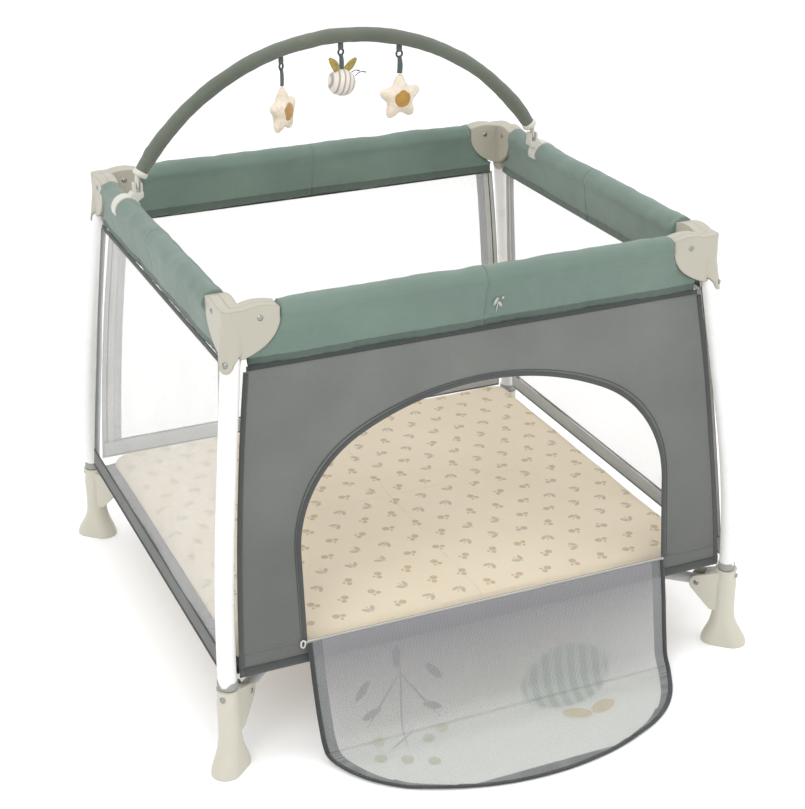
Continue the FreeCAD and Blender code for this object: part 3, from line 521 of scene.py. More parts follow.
def strip(name, path, width, lift, thick, out, material):
    """A flat binding with rounded edges along a path; it stands on the side that out names."""
    def round_off(value):
        return math.copysign(abs(value) ** 0.6, value)

    rows = []
    for i, p in enumerate(path):
        ahead = (path[min(i + 1, len(path) - 1)] - path[max(i - 1, 0)]).normalized()
        across = ahead.cross(out).normalized()
        rows.append([p + across * (width / 2 * round_off(math.cos(a)))
                     + out * (lift + thick / 2 * round_off(math.sin(a))) for a in ring_of(12)])
    points, faces = skin(rows, wrap=True, ends=True)
    return build(name, points, faces, [material])


# ---------------------------------------------------------------- hard parts

HARD = {"leg_tube": white_tube, "foot": foot_plastic, "corner": housing_plastic,
        "fasteners": bright_steel, "strut": silver_tube, "toy_clip": pale_plastic,
        "lock_button": dark_plastic}
for name, thing in NODES.items():
    usual = silver_tube if "_rail_" in name else grey_plastic
    thing.data.materials.clear()
    thing.data.materials.append(next((m for start, m in HARD.items() if name.startswith(start)),
                                     usual))


# ---------------------------------------------------------------- rail covers

COVER_HALF, HEM_HALF, HEM_Z = 0.0208, 0.0052, 0.6865    # half thickness above and at the hem
SEAM = 0.6975
COVERS = [(f"{side}_cover_{end}", out, way, half) for side, out, ends, half in (
    ("front", (0, -1), ("left", "right"), POST_X), ("back", (0, 1), ("left", "right"), POST_X),
    ("left", (-1, 0), ("front", "back"), POST_Y), ("right", (1, 0), ("front", "back"), POST_Y))
    for end, way in zip(ends, (-1, 1))]


def cover_section():
    """The padded cover's outline across the rail: full round above, thin hem below."""
    lean = math.asin((COVER_HALF - HEM_HALF) / (RAIL - HEM_Z))

    def arc(radius, height, start, turn, count):
        return [(radius * math.cos(a), height + radius * math.sin(a))
                for a in (start + turn * k / count for k in range(count + 1))]

    def run(a, b, count=13):
        return [(a[0] + (b[0] - a[0]) * t, a[1] + (b[1] - a[1]) * t)
                for t in (k / count for k in range(1, count))]

    over = arc(COVER_HALF, RAIL, -lean, math.pi + 2 * lean, 16)
    under = arc(HEM_HALF, HEM_Z, math.pi + lean, math.pi - 2 * lean, 6)
    return over + run(over[-1], under[0]) + under + run(under[-1], over[0])


def lobe_edge(z):
    """How far from the post the cover begins at a height: it follows the housing's lobe."""
    lobe, round_end, sleeve_end = 0.756, 0.720, 0.7035
    if z >= lobe:
        return 0.0762
    if z >= round_end:
        t = (lobe - z) / (lobe - round_end)
        return 0.0762 - 0.0235 * t * (0.6 + 0.4 * t)
    if z >= sleeve_end:
        return 0.0527 - 0.024 * (round_end - z) / (round_end - sleeve_end)
    return 0.0240


def cover_swell(spot, out, z, reach, left):
    """How far the cloth stands out at a spot: slow lumps, two sewn lines and small creases."""
    close = min(1.0, left / 0.05)
    swell = rough(spot, 0.085, 0.0032) + rough(spot + out, 0.03, 0.0017)
    swell += 0.0016 * math.exp(-((z - RAIL - 0.002) / 0.006) ** 2) \
        - 0.0010 * math.exp(-((z - RAIL + 0.012) / 0.005) ** 2)
    ripple = math.sin(reach * 2 * math.pi / 0.021 + 5 * noise.noise(spot / 0.07))
    swell += 0.0007 * ripple * math.exp(-max(0, z - SEAM) / 0.018)
    swell += 0.0010 * math.sin(z * 260 + 9 * noise.noise(spot / 0.05)) * (1 - close)
    tight = math.exp(-((z - SEAM) / 0.0035) ** 2)
    return swell - (0.0022 * tight + 0.0012 * (1 - close))


def rail_cover(node, side, way, half, steps=56):
    out = Vector((*side, 0))
    along = Vector((abs(side[1]), abs(side[0]), 0)) * way
    middle = HUB + Vector((side[0] * POST_X, side[1] * POST_Y, 0))
    outline = cover_section()
    rows = []
    for i in range(steps + 1):
        row = []
        for off, z in outline:
            reach = (half - lobe_edge(z)) * i / steps
            spot = middle + along * reach + out * off + Vector((0, 0, z))
            push = Vector((off, z - RAIL if z > RAIL else 0.0))
            push = push.normalized() if push.length > 1e-4 else Vector((0, -1))
            swell = cover_swell(spot, out, z, reach, half - lobe_edge(z) - reach)
            row.append(spot + out * push.x * swell + Vector((0, 0, push.y * swell)))
        rows.append(row)
    points, faces = skin(rows, wrap=True, ends=True)
    heights = [sum(points[k][2] for k in f) / len(f) for f in faces]
    cover = build(node + "_pad", points, faces, [cover_cloth, hem_cloth],
                  [1 if z < SEAM - 0.001 else 0 for z in heights])
    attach(cover, BODY[node])
    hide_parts(node)
    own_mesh(cover)


for row in COVERS:
    rail_cover(*row)


# ---------------------------------------------------------------- walls and front panel

NET_PIECE, BAND, NET_EDGE, PIPED = range(4)     # places in a wall's list of materials


def hang_on_leg(piece, body):
    """The piece rides on a leg."""
    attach(piece, body)
    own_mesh(piece)


def finish_sheet(made, node, body):
    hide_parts(node)
    hang_on_leg(made, body)


def top_tape(name, loop, place, high, along, sign, body):
    """The dark tape that joins a wall's top edge to the rail covers' hem."""
    path = level_line(loop, high - 1e-5, along, np.linspace(0.007, 0.993, 70),
                      place(high) - sign * 0.0016, high + 0.0022)
    out = Vector((0, 0, 0))
    out[1 - along] = sign
    hang_on_leg(strip(name + "_tape", path, 0.0105, 0.0, 0.0032, out, piping_cloth), body)


def wall(name, node, along, sign, body):
    """A mesh wall: see-through net, darker bands along its edges and foot, dark piping."""
    out_axis = 1 - along
    way = [0, 0, 0]
    way[out_axis] = sign
    loop = rim(node, way)[0]
    place = lean_of(loop, out_axis)
    low, high = min(p.z for p in loop), max(p.z for p in loop)
    band_top = low + 0.036
    columns = np.concatenate([[0, 0.010, 0.013, 0.026, 0.045], np.linspace(0.06, 0.94, 56),
                              [0.955, 0.974, 0.987, 0.990, 1.0]])
    rows = []
    for z in np.linspace(low + 1e-5, high - 1e-5, 64):
        row = level_line(loop, z, along, columns, place(z) + sign * 0.0005)
        for t, p in zip(columns, row):
            edge = min(1, t / 0.08, (1 - t) / 0.08, (z - low) / 0.06, (high - z) / 0.03)
            p[out_axis] += edge * (rough(p, 0.20, 0.0035) + rough(p, 0.05, 0.0008))
        rows.append(row)
    points, faces = skin(rows)

    def kind(face):
        side = columns[min(k % len(columns) for k in face)]
        if sum(points[k][2] for k in face) / 4 < band_top:
            return BAND
        if 0.009 < side < 0.012 or 0.986 < side < 0.989:
            return PIPED
        if side < 0.025 or side >= 0.973:
            return BAND
        return NET_EDGE if side < 0.044 or side >= 0.954 else NET_PIECE

    outer = [wall_net, panel_cloth, strip_net, piping_cloth]
    inner = [wall_net, pale_cloth, edge_net, piping_cloth]
    a, b, c = (Vector(points[k]) for k in faces[500][:3])
    facing = (b - a).cross(c - b)[out_axis] * sign
    made = build(name, points, faces, outer + inner if facing > 0 else inner + outer,
                 [kind(face) for face in faces], thick=0.0009, lining=4)
    finish_sheet(made, node, body)
    top_tape(name, loop, place, high, along, sign, body)
    for label, z in (("_piping", band_top), ("_foot_piping", low + 0.003)):
        path = level_line(loop, z, along, np.linspace(0.004, 0.996, 40),
                          place(z) + sign * 0.0014)
        hang_on_leg(tube(name + label, path, 0.0018, piping_cloth, sides=8), body)


wall("left_mesh", "left_wall", 1, -1, "leg_front_left")
wall("right_mesh", "right_wall", 1, 1, "leg_front_right")
wall("back_mesh", "back_wall", 0, 1, "leg_back_left")


def front():
    """The front panel with its arched door, and the bindings, tapes and tag sewn to it."""
    body, along, out = "leg_front_left", 0, Vector((0, -1, 0))
    outer, inner = rim("front_panel", (0, -1, 0))[:2]
    place = lean_of(outer, 1)
    low, high = min(p.z for p in outer), max(p.z for p in outer)
    sill, half = min(p.z for p in inner), max(p.x for p in inner)

    def turn(p):
        """A point's direction from the middle of the sill."""
        return math.atan2(p.z - sill, p.x)

    door = [Vector((p.x, 0, p.z)) for p in inner if p.z > sill + 0.001]
    door += [Vector((-half, 0, sill)), Vector((half, 0, sill))]
    door.sort(key=lambda p: math.atan2(p.z - sill + 1e-6, p.x), reverse=True)
    door = resample(door, 161)
    left = [Vector((cross(outer, z, 0)[0], 0, z)) for z in np.linspace(sill, high - 1e-5, 30)]
    right = [Vector((cross(outer, p.z, 0)[1], 0, p.z)) for p in reversed(left)]
    edge = left + [Vector((x, 0, high))
                   for x in np.linspace(left[-1].x, right[0].x, 40)[1:-1]] + right

    # the door's points and the panel's edge are matched by their direction
    turns = [-turn(p) for p in edge]
    rows = []
    for p in door:
        x = float(np.interp(-turn(p), turns, [q.x for q in edge]))
        z = float(np.interp(-turn(p), turns, [q.z for q in edge]))
        row = []
        for t in (k / 25 for k in range(26)):
            q = Vector((p.x + (x - p.x) * t, 0, p.z + (z - p.z) * t))
            free = min(1, t / 0.2, (1 - t) / 0.2, (q.z - sill) / 0.03)
            q.y = place(q.z) + free * (rough((q.x, 0, q.z), 0.16, 0.0030)
                                       + rough((q.x, 3, q.z), 0.045, 0.0007))
            row.append(q)
        rows.append(row)
    points, faces = skin(rows)
    more, more_faces = skin([level_line(outer, z, along, np.linspace(0, 1, 90), place(z))
                             for z in np.linspace(low + 1e-5, sill, 8)])
    faces += [tuple(len(points) + k for k in f) for f in more_faces]
    points += more
    hem = low + 0.014
    kinds = [1 if sum(points[k][2] for k in f) / 4 < hem else 0 for f in faces]
    made = build("front_cloth", points, faces, [panel_cloth, binding_cloth], kinds, thick=0.0014)
    finish_sheet(made, "front_panel", body)
    top_tape("front", outer, place, high, along, -1, body)

    for p in door:
        p.y = place(p.z)
    beside = [Vector((p.x + math.copysign(0.0065, p.x) * min(1, abs(p.x) / 0.2), p.y,
                      p.z + 0.0065 * min(1, max(0, (p.z - 0.36) / 0.1)))) for p in door]
    sill_line = [Vector((x, place(sill - 0.003), sill - 0.003))
                 for x in np.linspace(-half, half, 60)]
    trims = [strip("door_binding", door, 0.0085, 0.0008, 0.0022, out, binding_cloth),
             strip("door_stitch", beside, 0.0012, 0.0010, 0.0010, out, piping_cloth),
             strip("sill_tape", sill_line, 0.0065, 0.0014, 0.0026, out, pale_cloth)]
    for end, inset in enumerate((0.004, -0.004)):
        line = [Vector((cross(outer, z, 0)[end] + inset, place(z), z))
                for z in np.linspace(low + 0.004, high - 0.002, 60)]
        trims.append(strip(f"side_binding_{end}", line, 0.0085, 0.0012, 0.0028, out,
                           binding_cloth))
    line = level_line(outer, hem, along, np.linspace(0, 1, 80), place(hem))
    trims.append(strip("foot_piping", line, 0.0030, 0.0014, 0.0026, out, piping_cloth))
    # a small bracket holds the zip's end at the sill's left corner
    bracket = [Vector((-half - 0.004 + 0.004 * math.cos(a), place(sill) - 0.003,
                       sill - 0.004 + 0.007 * math.sin(a))) for a in ring_of(8)]
    trims.append(tube("zip_bracket", bracket, 0.0016, pale_plastic, sides=8, closed=True,
                      up=(0, 1, 0)))
    tag = [Vector((x, place(0.255), 0.255)) for x in (0.384, 0.390, 0.396, 0.402)]
    trims.append(strip("side_tag", tag, 0.012, 0.0015, 0.0016, out, binding_cloth))
    for trim in trims:
        hang_on_leg(trim, body)


front()


# ---------------------------------------------------------------- door flap

def flap():
    """The door's mesh, hanging from the sill and lying on the floor in one rounded bend."""
    upper = rim("door_flap_upper", (0, -1, 0.2))[0]
    lower = rim("door_flap_lower", (0, 0, 1))[0]
    top, bend = max(p.z for p in upper), min(p.z for p in upper)
    front_end, bend_y = min(p.y for p in lower), max(p.y for p in lower)
    out_of = lean_of(upper, 1)
    stretch = math.hypot(1, abs(out_of(bend) - out_of(top)) / (top - bend))
    drop = (top - bend) * stretch           # length of the hanging part
    proud, lie, bow = 0.0011, 0.0022, 0.046     # off the panel, off the floor, bend's radius
    start = Vector((0, out_of(top) + proud, top))
    turn_at = Vector((0, out_of(bend) + proud, bend))
    down, away = (turn_at - start).normalized(), Vector((0, -1, 0))
    sweep = down.angle(away)
    reach = bow * math.tan(sweep / 2)
    heart = turn_at - down * reach + (away - down * down.dot(away)).normalized() * bow
    arm = turn_at - down * reach - heart

    def line_at(v):
        """The cloth's line from the sill, down to the floor and out along it."""
        if v < drop - reach:
            return start + down * v
        if v > drop + reach:
            far = turn_at + away * (v - drop)
            return Vector((0, far.y, bend + (lie - bend) * min(1, (v - drop - reach) / 0.05)))
        a = (v - drop + reach) / (2 * reach) * sweep
        return heart + arm * math.cos(a) + down * bow * math.sin(a)

    def on_flap(piece, body):
        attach(piece, body)
        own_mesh(piece)

    def cloth_piece(node, name, levels, span_at):
        hanging = node == "door_flap_upper"
        rows, flat, halves = [], [], []
        shares = [0, 0.008, 0.016, 0.024, 0.032, 0.040] + list(np.linspace(0.06, 0.94, 45)) \
            + [0.960, 0.968, 0.976, 0.984, 0.992, 1.0]
        for level in levels:
            a, b, v = span_at(level)
            row = []
            for x in (a + (b - a) * t for t in shares):
                p = line_at(v)
                p.x = x
                calm = min(1, abs(v - drop) / 0.03, v / 0.03)
                sag = calm * (rough((x, v, 0), 0.12, 0.0035) + rough((x, v, 4), 0.04, 0.0008))
                if hanging:
                    p.y += sag
                else:
                    p.z += abs(sag) * 0.9
                row.append(p)
                flat.append((x, v))
            rows.append(row)
            halves.append(max(abs(a), abs(b)))
        points, faces = skin(rows)
        far_end = max(v for _, v in flat)
        kinds = []
        for f in faces:
            u, v = (sum(flat[k][i] for k in f) / 4 for i in (0, 1))
            side = halves[f[0] // len(shares)] - abs(u) < 0.022
            kinds.append(1 if side or (not hanging and far_end - v < 0.022) else 0)
        made = build(name, points, faces, [flap_net, edge_net], kinds, flat, thick=0.0010)
        on_flap(made, node)
        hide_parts(node)
        return rows

    def span_hanging(z):
        a, b = cross(upper, min(max(z, bend + 1e-5), top - 1e-5), 0)
        share = 1 - 0.0205 * max(0.0, min(1.0, (top - z) / (top - bend))) ** 2
        return a * share, b * share, (top - z) * stretch

    def span_lying(y):
        a, b = cross(lower, min(max(y, front_end + 1e-5), bend_y - 1e-5), 0, 1)
        return a, b, drop + (y0 - y)

    y0 = out_of(bend) + proud
    levels = [y0 + (front_end - y0) * math.sin(math.pi / 2 * t) for t in np.linspace(0, 1, 48)]
    hanging = cloth_piece("door_flap_upper", "flap_hanging", np.linspace(top, bend, 40),
                          span_hanging)
    lying = cloth_piece("door_flap_lower", "flap_lying", levels, span_lying)
    for i, end in enumerate((0, -1)):
        line = [r[end] + Vector((0, -0.0010, 0.0)) for r in hanging]
        on_flap(tube(f"flap_binding_hanging_{i}", line, (0.0042, 0.0018), piping_cloth, sides=10,
                     up=(0, -1, 0.2)), "door_flap_upper")
    line = [r[0] for r in lying] + lying[-1][1:-1] + [r[-1] for r in reversed(lying)]
    line = [p + Vector((0, 0, 0.0002)) for p in resample(line, 160)]
    on_flap(tube("flap_binding_lying_0", line, (0.0042, 0.0018), piping_cloth, sides=10),
            "door_flap_lower")


flap()


# ---------------------------------------------------------------- mat and floor sheet

def slab(half_x, half_y, low, high, corner, step=0.012):
    """A closed pad with round corners and a rounded edge, crowned a little."""
    nx, ny = int(2 * half_x / step), int(2 * half_y / step)
    points, faces, index = [], [], {}
    mid = (low + high) / 2

    def inside(x, y):
        """How far a spot is from the pad's outline."""
        dx, dy = abs(x) - (half_x - corner), abs(y) - (half_y - corner)
        if dx > 0 and dy > 0:
            return corner - math.hypot(dx, dy)
        return min(half_x - abs(x), half_y - abs(y))

    def spot(i, j, side):
        x, y = (2 * i / nx - 1) * half_x, (2 * j / ny - 1) * half_y
        dx, dy = abs(x) - (half_x - corner), abs(y) - (half_y - corner)
        if dx > 0 and dy > 0:       # pull the square corner onto its round
            far, long = max(dx, dy), math.hypot(dx, dy)
            x = math.copysign(half_x - corner + dx * far / long, x)
            y = math.copysign(half_y - corner + dy * far / long, y)
        rise = min(1.0, max(0.0, inside(x, y)) / 0.014)
        rise = math.sqrt(1 - (1 - rise) ** 2)
        p = Vector((x, y + SHIFT, mid + side * (high - mid) * rise))
        if side > 0:
            p.z += rise * (rough(p, 0.11, 0.0022) + rough(p, 0.035, 0.0010)) - 0.0012 * rise
        return p

    def key_of(i, j, side):
        return i, j, 0 if i in (0, nx) or j in (0, ny) else side

    for side in (1, -1):
        for i in range(nx + 1):
            for j in range(ny + 1):
                key = key_of(i, j, side)
                if key not in index:
                    index[key] = len(points)
                    points.append(spot(*key))
        for i in range(nx):
            for j in range(ny):
                ring = [index[key_of(a, b, side)]
                        for a, b in ((i, j), (i + 1, j), (i + 1, j + 1), (i, j + 1))]
                faces.append(tuple(ring if side > 0 else reversed(ring)))
    return points, faces


def quarter(source, name, sx, sy):
    """The part of a pad in one quarter of the floor, closed again along the cuts."""
    bm = bmesh.new()
    bm.from_mesh(source.data)
    for normal in ((-sx, 0, 0), (0, -sy, 0)):
        geometry = list(bm.verts) + list(bm.edges) + list(bm.faces)
        cut = bmesh.ops.bisect_plane(bm, geom=geometry, plane_co=HUB, plane_no=normal,
                                     clear_outer=True)
        edges = [e for e in cut["geom_cut"] if isinstance(e, bmesh.types.BMEdge)]
        bmesh.ops.holes_fill(bm, edges=edges, sides=0)
    mesh = bpy.data.meshes.new(name)
    bm.to_mesh(mesh)
    bm.free()
    for m in source.data.materials:
        mesh.materials.append(m)
    for polygon in mesh.polygons:
        polygon.use_smooth = len(polygon.vertices) < 5
    return link(name, mesh)


def quarters(source, label, node):
    """Cuts a pad in four; each quarter rides on a strut."""
    for corner, (sx, sy) in CORNERS.items():
        made = quarter(source, f"{label}_{corner}", sx, sy)
        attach(made, f"strut_{corner}")
        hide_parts(node)
        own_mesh(made)
    bpy.data.objects.remove(source)


low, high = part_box("mat")
points, faces = slab(high.x - 0.001, (high.y - low.y) / 2 - 0.001, low.z + 0.0005,
                     high.z - 0.0005, 0.03)
whole = build("mat_whole", points, faces, [mat_print])
quarters(puff(whole, 0.0065, 0.005, 3.0), "mat", "mat")

low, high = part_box("floor_sheet")
points, faces = slab(high.x - 0.0005, (high.y - low.y) / 2 - 0.0005, low.z + 0.0002,
                     high.z - 0.0002, 0.012, 0.03)
for p in points:
    p.z = min(max(p.z, low.z), high.z)
whole = build("floor_whole", points, faces, [floor_cloth])
quarters(whole, "floor", "floor_sheet")


# ---------------------------------------------------------------- toy bar and toys

BAR_Y, BAR_ARC, BAR_CENTRE = SHIFT + 0.205, 0.467, 0.569


def bar_point(angle):
    return Vector((BAR_ARC * math.sin(angle), BAR_Y, BAR_CENTRE + BAR_ARC * math.cos(angle)))


def on_bar(piece, body="toy_bar"):
    """The piece rides on the toy bar, or on the body that is named."""
    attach(piece, body)
    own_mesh(piece)


def toy_bar():
    """The padded sleeve on its arched bar, with an end cap and a tab into each clip."""
    half, count = math.radians(57.0), 190
    rows = []
    for i in range(count + 1):
        a = -half + 2 * half * i / count
        out = Vector((math.sin(a), 0, math.cos(a)))
        end = min(i, count - i) / count
        row = []
        for t in ring_of(22):
            way = out * math.cos(t) + Vector((0, 1, 0)) * math.sin(t)
            p = bar_point(a) + way * 0.0135
            size = rough(p, 0.05, 0.0016) + rough(p, 0.016, 0.0007)
            size += 0.0009 * math.sin(i * 0.9 + 3 * noise.noise(p / 0.03)) * math.exp(-end * 22)
            size -= 0.0014 * math.exp(-((t - math.pi) / 0.22) ** 2)     # the seam underneath
            size -= 0.004 * math.exp(-end * 90)
            row.append(p + way * size)
        rows.append(row)
    points, faces = skin(rows, wrap=True, ends=True)
    sleeve = build("bar_sleeve", points, faces, [bar_cloth])
    on_bar(sleeve)
    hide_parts("toy_bar")
    tab_heights = [(0.7984, 0.4), (0.8000, 0.85), (0.8030, 1.0), (0.8120, 1.0), (0.8200, 1.0),
                   (0.8290, 1.0)]
    for side, sign in (("left", -1), ("right", 1)):
        path = [bar_point(sign * math.radians(57.2 - d)) for d in (0.0, 0.3, 0.9, 1.2)]
        cap = tube(f"bar_end_{side}", path, [0.0125, 0.0140, 0.0140, 0.0130], pale_plastic,
                   sides=20, up=(0, 1, 0))
        path = [Vector((sign * (0.3970 - max(0, z - 0.815) * 0.16), BAR_Y, z))
                for z, _ in tab_heights]
        tab = tube(f"bar_tab_{side}", path, [(0.0039 * k, 0.0068 * k) for _, k in tab_heights],
                   pale_plastic, sides=20, up=(0, 1, 0))
        on_bar(tab)
        on_bar(cap)


toy_bar()


def loop_strap(name, top, bottom):
    """Webbing from under the bar to a ring, and from the ring down to the toy."""
    half, ring_z, ring = 0.0115 / 2, top.z - 0.030, 0.0062
    drop = [Vector((top.x, top.y, z)) for z in (top.z - 0.0120, top.z - 0.020, ring_z + 0.004)]
    circle = [Vector((top.x + ring * math.cos(t), top.y, ring_z + ring * math.sin(t)))
              for t in ring_of(18)]
    tail, sizes = [], []
    for t in np.linspace(0, 1, 9):
        tail.append(Vector((top.x + 0.0015 * math.sin(t * 3), top.y,
                            ring_z - 0.004 + (bottom.z - ring_z + 0.004) * t)))
        sizes.append((half * (0.72 + 0.28 * min(1, t * 2)), 0.0026 - 0.0006 * t))
    up = (0, 1, 0)
    return [tube(f"{name}_drop", drop, [(half, t) for t in (0.0035, 0.0045, 0.0030)], webbing,
                 sides=12, up=up),
            tube(f"{name}_ring", circle, 0.0019, dark_plastic, sides=10, closed=True, up=up),
            tube(f"{name}_tail", tail, sizes, webbing, sides=12, up=up)]


def star(name, centre):
    """A stuffed five-pointed star with soft tips and a seam round its edge."""
    tip, notch, thick, rings, spokes = 0.0462, 0.0305, 0.0118, 12, 60
    outline = [(notch + (tip - notch) * ((1 + math.cos(5 * t)) / 2) ** 1.15, t)
               for t in ring_of(spokes)]
    points, faces = [], []
    for side in (-1, 1):
        base = len(points)
        points.append(centre + Vector((0, side * thick, 0)))
        for i in range(1, rings + 1):
            s = i / rings
            for radius, t in outline:
                lift = 0.0
                if i < rings:
                    lift = thick * math.sqrt(1 - s ** 2.6) * (0.55 + 0.45 * notch / radius)
                p = centre + Vector((radius * s * math.sin(t), side * lift,
                                     radius * s * math.cos(t)))
                points.append(p + Vector((0, side * rough(p, 0.012, 0.0012) * (1 - s), 0)))
        for k in range(spokes):
            a, b = base + 1 + k, base + 1 + (k + 1) % spokes
            faces.append((base, a, b) if side < 0 else (base, b, a))
            for _ in range(rings - 1):
                c, d = b + spokes, a + spokes
                faces.append((a, d, c, b) if side < 0 else (a, b, c, d))
                a, b = d, c
    return weld(build(name, points, faces, [cream_plush]), 1e-4)


def disc(name, centre, face_y):
    """The domed felt disc on a star's face."""
    bulge, rings, sides = 0.0022, 6, 28
    points, faces = [Vector((centre.x, face_y - bulge, centre.z))], []
    for s in (i / rings for i in range(1, rings + 1)):
        for t in ring_of(sides):
            points.append(Vector((centre.x + 0.0165 * s * math.cos(t),
                                  face_y - bulge * math.sqrt(1 - s ** 3),
                                  centre.z + 0.0165 * s * math.sin(t))))
    for k in range(sides):
        a, b = 1 + k, 1 + (k + 1) % sides
        faces.append((0, b, a))
        for i in range(0, (rings - 1) * sides, sides):
            faces.append((a + i, b + i, b + i + sides, a + i + sides))
    return build(name, points, faces, [ochre_felt], thick=0.0012)


def make_star(node, top):
    centre = Vector((top.x, top.y, top.z - 0.112))
    body = puff(star(f"{node}_plush", centre), 0.003, 0.003, 3.0)
    return loop_strap(node, top, centre + Vector((0, 0, 0.0455))) \
        + [disc(f"{node}_disc", centre, top.y - 0.0122)], body


def make_bee(node, top):
    """A round striped bee with two felt wings and two feelers."""
    centre = Vector((top.x, top.y, top.z - 0.086))
    rows = []
    for i in range(1, 24):
        a = math.pi * i / 24
        groove = 1 + 0.025 * math.sin(i * 2.1)
        row = []
        for t in ring_of(32):
            p = Vector((-math.cos(a) * 0.0272, math.sin(a) * math.cos(t) * 0.0250 * groove,
                        math.sin(a) * math.sin(t) * 0.0252 * groove))
            p += p.normalized() * rough(p + centre, 0.014, 0.0012)
            row.append(centre + Matrix.Rotation(math.radians(14), 3, "Y") @ p)
        rows.append(row)
    points, faces = skin(rows, wrap=True, ends=True)
    body = puff(build("bee_plush", points, faces, [bee_plush]), 0.003, 0.0015, 2.0)
    pieces = loop_strap(node, top, centre + Vector((0, 0, 0.022)))
    for sign, lean in ((-1, 52), (1, 30)):
        lift = math.radians(lean)
        root = centre + Vector((sign * 0.006, 0, 0.0195))
        far = Vector((sign * math.cos(lift), 0, math.sin(lift)))
        side = far.cross(Vector((0, 1, 0)))
        rows = []
        for s in (i / 12 for i in range(13)):
            wide = 0.0082 * math.sin(math.pi * min(1, 0.12 + s * 0.83)) ** 0.7 + 0.0004
            spot = root + far * (0.037 * s) + Vector((0, -0.002 * math.sin(s * 3), 0))
            rows.append([spot + side * wide * math.cos(t) + Vector((0, 0.0019, 0)) * math.sin(t)
                         for t in ring_of(12)])
        points, faces = skin(rows, wrap=True, ends=True)
        pieces.append(build(f"bee_wing_{sign + 1}", points, faces, [wing_felt]))
        path = [centre + Vector((0.018 + 0.020 * s, -0.010 - 0.006 * s + sign * 0.008,
                                 0.012 + 0.006 * math.sin(s * 2.4))) for s in np.linspace(0, 1, 8)]
        pieces.append(tube(f"bee_feeler_{sign + 1}", path, [0.0008] * 7 + [0.0016],
                           dark_plastic, sides=8))
    return pieces, body


def hang(node, top_x, degrees, make):
    """Hangs a toy from the bar, turned about the upright line through its strap."""
    top = bar_point(math.asin(top_x / BAR_ARC))
    pieces, pad = make(node, top)
    spin = Matrix.Translation(top) @ Matrix.Rotation(math.radians(degrees), 4, "Z") \
        @ Matrix.Translation(-top)
    for piece in pieces + [pad]:
        piece.data.transform(spin)
        on_bar(piece, node)
    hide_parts(node)


hang("toy_star_left", -0.116, 40, make_star)
hang("toy_bee", 0.0, 22, make_bee)
hang("toy_star_right", 0.116, 6, make_star)


# ---------------------------------------------------------------- small trim

def collar(corner, sx, sy):
    """The grey collar with a V notch at the foot of a leg."""
    out = Vector((sx * POST_X, sy * POST_Y, 0)).normalized()
    side = Vector((-out.y, out.x, 0))
    centre, foot, top, levels = HUB + out * 0.6475, 0.1522, 0.1665, 4
    rows = []
    for level in range(levels + 1):
        radius = 0.013 + (0.0011 if 0 < level < levels else 0.0006)
        row = []
        for t in ring_of(40):
            notch = 0.010 * max(0, 1 - abs(t if t < math.pi else t - 2 * math.pi) / 0.7)
            x, y = radius * math.cos(t), radius * math.sin(t)
            y += 0.003 * (1 if y > 0 else -1)
            row.append(centre + out * x + side * y
                       + Vector((0, 0, foot + (top - notch - foot) * level / levels)))
        rows.append(row)
    points, faces = skin(rows, wrap=True)
    made = build(f"collar_{corner}", points, faces, [collar_plastic], thick=0.0008)
    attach(made, f"leg_{corner}")


for corner, (sx, sy) in CORNERS.items():
    collar(corner, sx, sy)


def sprig():
    """A small plain sprig of two leaves, a stem and a bud printed on the front cover."""
    points, faces = [], []
    for x, z, wide, tall, lean in (
            (0.018, 0.728, 0.0030, 0.0075, 24), (0.026, 0.722, 0.0026, 0.0062, -30),
            (0.021, 0.716, 0.0009, 0.0100, 6), (0.030, 0.733, 0.0022, 0.0022, 0)):
        c, s = math.cos(math.radians(lean)), math.sin(math.radians(lean))
        faces.append(tuple(len(points) + k for k in range(20)))
        for t in ring_of(20):
            u, v = wide * math.cos(t), tall * math.sin(t)
            px, pz = x + u * c + v * s, z - u * s + v * c
            py = SHIFT - POST_Y - COVER_HALF + (RAIL - pz) * 0.203 - 0.0016
            points.append(Vector((px, py, pz)))
    made = build("front_sprig", points, faces, [pale_cloth], thick=0.0005)
    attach(made, "front_rail_right")
    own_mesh(made)


sprig()


# ---------------------------------------------------------------- floor, light, camera

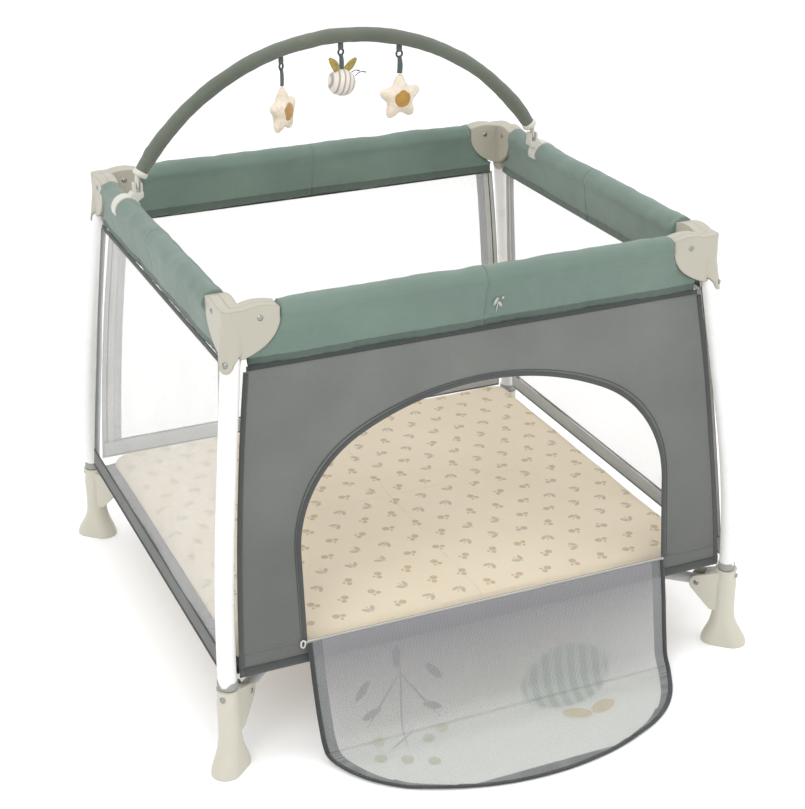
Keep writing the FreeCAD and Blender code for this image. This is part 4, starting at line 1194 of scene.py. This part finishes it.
def stage():
    """A plain pale floor, a white sky and three soft lights."""
    size, n = 14.0, 24
    points, faces = skin([[Vector((-size + 2 * size * j / n, -size + 2 * size * i / n, -0.0004))
                           for j in range(n + 1)] for i in range(n + 1)])
    p = Paint("studio_floor", 0.75, Specular_IOR_Level=0.15)
    p.set(Base_Color=p.mix(p.cloud(0.8, 2), rgb(246, 246, 246), rgb(250, 250, 250)),
          Emission_Color=(1.0, 1.0, 1.0, 1.0), Emission_Strength=0.10)
    build("studio_floor", points, faces, [p.material], smooth=False)
    world = bpy.data.worlds.new("studio")
    bpy.context.scene.world = world
    world.use_nodes = True
    sky = world.node_tree.nodes["Background"]
    sky.inputs["Color"].default_value = (1.0, 1.0, 1.0, 1.0)
    sky.inputs["Strength"].default_value = 1.0
    aim = Vector((0, 0.1, 0.3))
    for label, spot, wide, power in (("key", (-2.2, -2.6, 3.6), 2.4, 62),
                                     ("fill", (3.0, -2.0, 2.4), 3.0, 22),
                                     ("top", (0.2, 0.6, 4.2), 3.2, 34)):
        lamp = bpy.data.lights.new(label, "AREA")
        lamp.shape, lamp.size, lamp.size_y, lamp.energy = "RECTANGLE", wide, wide, power
        made = link(label, lamp)
        made.location = spot
        made.rotation_euler = (aim - Vector(spot)).to_track_quat("-Z", "Y").to_euler()


def camera():
    """Looks at the pen from its front left, from above, as in the photograph."""
    spot = Vector((-1.125096, -2.699088 + SHIFT, 1.701756))
    yaw, pitch, roll = 0.4036, 0.4235, -0.0106
    ahead = Vector((math.sin(yaw) * math.cos(pitch), math.cos(yaw) * math.cos(pitch),
                    -math.sin(pitch)))
    level = Vector((math.cos(yaw), -math.sin(yaw), 0))
    upright = level.cross(ahead)
    right = level * math.cos(roll) + upright * math.sin(roll)
    top = -level * math.sin(roll) + upright * math.cos(roll)
    data = bpy.data.cameras.new("view")
    data.lens = 76.147
    made = link("view", data)
    made.matrix_world = Matrix((
        (right.x, top.x, -ahead.x, spot.x), (right.y, top.y, -ahead.y, spot.y),
        (right.z, top.z, -ahead.z, spot.z), (0, 0, 0, 1)))
    bpy.context.scene.camera = made


stage()
camera()
bpy.context.scene.view_settings.view_transform = "Standard"
